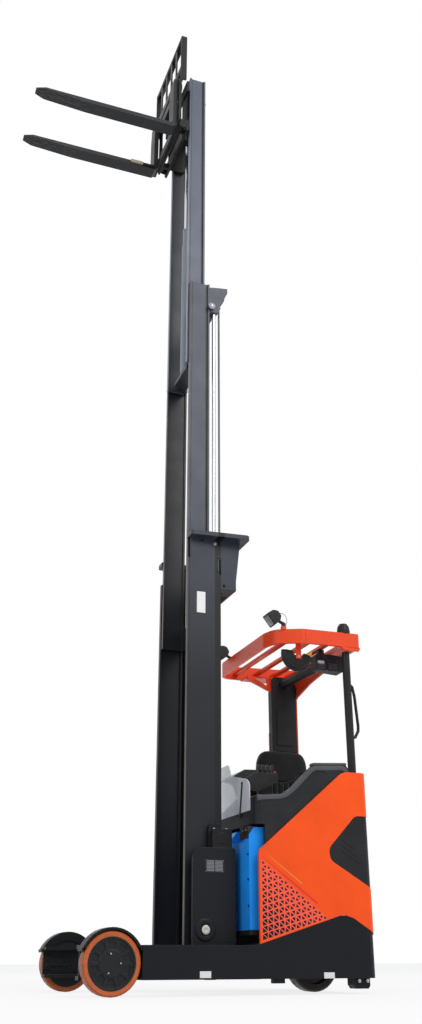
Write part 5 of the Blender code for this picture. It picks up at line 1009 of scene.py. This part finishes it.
# Mirror: three raised ribs run round its black moulded shell, and a bolt holds it to its strap. Its glass
# faces in, towards the operator.
mirror_middle = truck(1.338, -0.430, 2.185)
a = np.radians(np.linspace(200, 340, 48))
b = np.arange(10) * 2 * math.pi / 10
for i, radius in enumerate((0.050, 0.072, 0.094)):
    wide = radius + 0.0022 * np.cos(b)
    out = -0.0135 + 0.30 * max(0, radius - 0.030) * 0.5 - 0.0022 * np.sin(b)
    xs, zs = mirror_middle[0] + wide * np.cos(a)[:, None], mirror_middle[2] + wide * np.sin(a)[:, None]
    rib = capped(np.stack([xs, np.broadcast_to(mirror_middle[1] + out, (48, 10)), zs], -1))
    worked(f"mirror_rib_{i + 1}", *rib, lamp_black, "black_plastic")
bolted("mirror_bolt", [truck(1.338, -0.4505, 2.166)], (0, -1, 0), 0.0065, zinc)


# Box under the guard: a moulded box with two grilles in sunk frames on its near face. A yellow moulded
# wedge is clamped in front of it.
GRILLE_MIDDLE = 2.148
for name, middle_x, half_x, half_z in (("first", 1.556, 0.036, 0.040), ("second", 1.651, 0.042, 0.042)):
    sunk = [(half_x - drawn_in, half_z - drawn_in, radius, height) for drawn_in, radius, height in
            ((0, 0.006, -0.0004), (0, 0.006, 0.003), (0.004, 0.004, 0.003), (0.005, 0.004, 0.0012))]
    place = truck(middle_x, -0.3605, GRILLE_MIDDLE)
    pad(f"box_grille_{name}", place, *upright, sunk, grille_black, "black_plastic")
    left, right = middle_x - half_x + 0.007 + LOAD_AXLE_X, middle_x + half_x - 0.007 + LOAD_AXLE_X
    rows = np.linspace(GRILLE_MIDDLE - half_z + 0.011, GRILLE_MIDDLE + half_z - 0.030, 5)
    bars = [slab(rectangle(left, right, z - 0.0016, z + 0.0016, 0.0008), "Y", -0.3635, -0.3612, 0.0005) for z in rows]
    worked(f"box_grille_bars_{name}", *merged(bars), cap_grey, "black_plastic")
yellow = moulded("wedge_yellow", (0.80, 0.42, 0.015), 0.4, (0.8, 0.5, 0.1), 500.0, 0.05)
corners = np.array([(1.426, 2.203), (1.515, 2.257), (1.513, 2.213)]) + (LOAD_AXLE_X, 0)
softened = []
for corner, turns in zip(corners, ((130, 190, 250), (0, 50, 100), (-70, -30, 0))):
    t = np.radians(turns)
    drawn_in = corner + 0.004 * (corners.mean(0) - corner) / 0.03
    softened.append(drawn_in + 0.003 * np.stack([np.cos(t), np.sin(t)], 1))
wedge = np.concatenate(softened)
wedge = wedge[np.argsort(np.arctan2(*(wedge - wedge.mean(0)).T[::-1]))]
worked("yellow_wedge", *slab(wedge, "Y", -0.306, -0.292, 0.0015), yellow, "orange_paint")


# Vent backing: a dark grey sheet behind the slots of each vent grille dims them. It is painted shade that
# stands in for the shaded inside of the housing.
# Painted shade: a dark grey sheet that stands for the shaded housing behind the slots.
slot_shade_grey = moulded("vent_slot_shade_grey", (0.040, 0.041, 0.046), 0.5, (0.12, 0.12, 0.13), 900.0, 0.4)
slot_shade_outline = rectangle(1.486 + LOAD_AXLE_X, 1.668 + LOAD_AXLE_X, 0.742, 0.922, 0.008)
for side, name in BOTH_SIDES:
    inner, outer = sorted((side * 0.6215, side * 0.6270))
    worked(f"vent_slot_shade_{name}", *slab(slot_shade_outline, "Y", inner, outer, 0.0008), slot_shade_grey, "black_plastic")


# Chain wheels' pins in the head brackets: a turned steel boss stands on the outside of each bracket, and
# a bolt through it holds the pin.
boss = [(-0.004, 0), (-0.004, 0.030), (0.004, 0.030), (0.007, 0.026), (0.007, 0.016), (0.004, 0.014), (0.004, 0)]
for side, name in BOTH_SIDES:
    place, bolt_place = truck(0.722, side * 0.3205, 5.125), truck(0.722, side * 0.3240, 5.125)
    turned_set(f"head_boss_{name}", [place], (0, side, 0), boss, barrel_coat, "charcoal_paint", "middle_stage", 32)
    bolted(f"head_bolt_{name}", [bolt_place], (0, side, 0), 0.0090, zinc, "middle_stage")


# Load guard: the frame above the side-shift bars. Deep side plates carry two cross beams, and four flat
# bars between the beams divide it into windows.
(guard_front, _, guard_foot), (guard_rear, guard_side, guard_top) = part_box("load_backrest")
front, rear = guard_front + 0.005, guard_rear + 0.045
plate_middle = ((front + rear) / 2, (guard_top + guard_foot) / 2)
plate = rounded_ring((rear - front) / 2, (guard_top - guard_foot) / 2, 0.010, 4) + plate_middle
parts = [slab(plate, "Y", *sorted((side * (guard_side - 0.014), side * guard_side)), 0.002) for side in (-1, 1)]
inner_half = guard_side - 0.0145
for low, high in ((guard_top - 0.050, guard_top - 0.001), (7.595, 7.680)):
    beam = rectangle(front + 0.002, rear - 0.004, low, high, 0.004)
    parts.append(slab(beam, "Y", -inner_half - 0.002, inner_half + 0.002, 0.001))
for i in range(1, 5):
    y = -inner_half + i * 2 * inner_half / 5
    bar = rectangle(front + 0.003, front + 0.013, y - 0.021, y + 0.021, 0.003)
    parts.append(slab(bar, "Z", 7.678, guard_top - 0.049, 0.001))
load_guard = worked("load_guard_frame", *merged(parts), carriage_black, "black_paint", "side_shift")
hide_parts("load_backrest")


# Fork heels: a pale rubber stop and a ribbed hose clipped along the far fork. The hose's radius is
# 11.5 mm + 2.2 mm * cos(2 pi * distance / 9.5 mm).
stop_beige = moulded("rubber_stop_beige", (0.42, 0.38, 0.30), 0.7, (0.5, 0.48, 0.42), 300.0, 0.2)
rubber_stop = slab(rectangle(-0.341, -0.220, 6.964, 6.992, 0.006), "Y", 0.212, 0.2295, 0.003)
worked("fork_stop", *rubber_stop, stop_beige, "black_plastic", "side_shift")
hose_x = np.linspace(-0.218, -0.086, 96)
a = np.arange(14) * 2 * math.pi / 14
ribs = (0.0115 + 0.0022 * np.cos(2 * math.pi * (hose_x - hose_x[0]) / 0.0095))[:, None]
hose = [np.broadcast_to(hose_x[:, None], (96, 14)), 0.2195 + ribs * np.cos(a), 6.974 + ribs * np.sin(a)]
worked("fork_hose", *capped(np.stack(hose, -1)), rim_black, "black_plastic", "side_shift")


# Lamp cable: a thin lead in a grey sheath that leaves the near lamp's back, loops out and goes down into
# the guard's band. It is free between its ends.
LEAD_DIAMETER = 0.0042
way = [(1.170, 2.450), (1.184, 2.462), (1.204, 2.466), (1.224, 2.456), (1.238, 2.436), (1.243, 2.410), (1.238, 2.386),
       (1.226, 2.366), (1.216, 2.352)]
lead_path = [truck(x, -0.477, z) for x, z in eased(way, 26, 2).tolist()]
lead_curve = bpy.data.curves.new("lamp_lead", "CURVE")
lead_curve.dimensions = "3D"
lead_curve.bevel_depth, lead_curve.bevel_resolution = LEAD_DIAMETER / 2, 3
lead_curve.use_fill_caps = True
line = lead_curve.splines.new("POLY")
line.points.add(len(lead_path) - 1)
line.points.foreach_set("co", np.concatenate([np.array(lead_path), np.ones((len(lead_path), 1))], 1).ravel())
lead = linked("lamp_lead", lead_curve)
lead_curve.materials.append(moulded("lead_grey", (0.20, 0.20, 0.21), 0.45, (0.3, 0.3, 0.3), 500.0, 0.05))
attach(lead, "chassis")
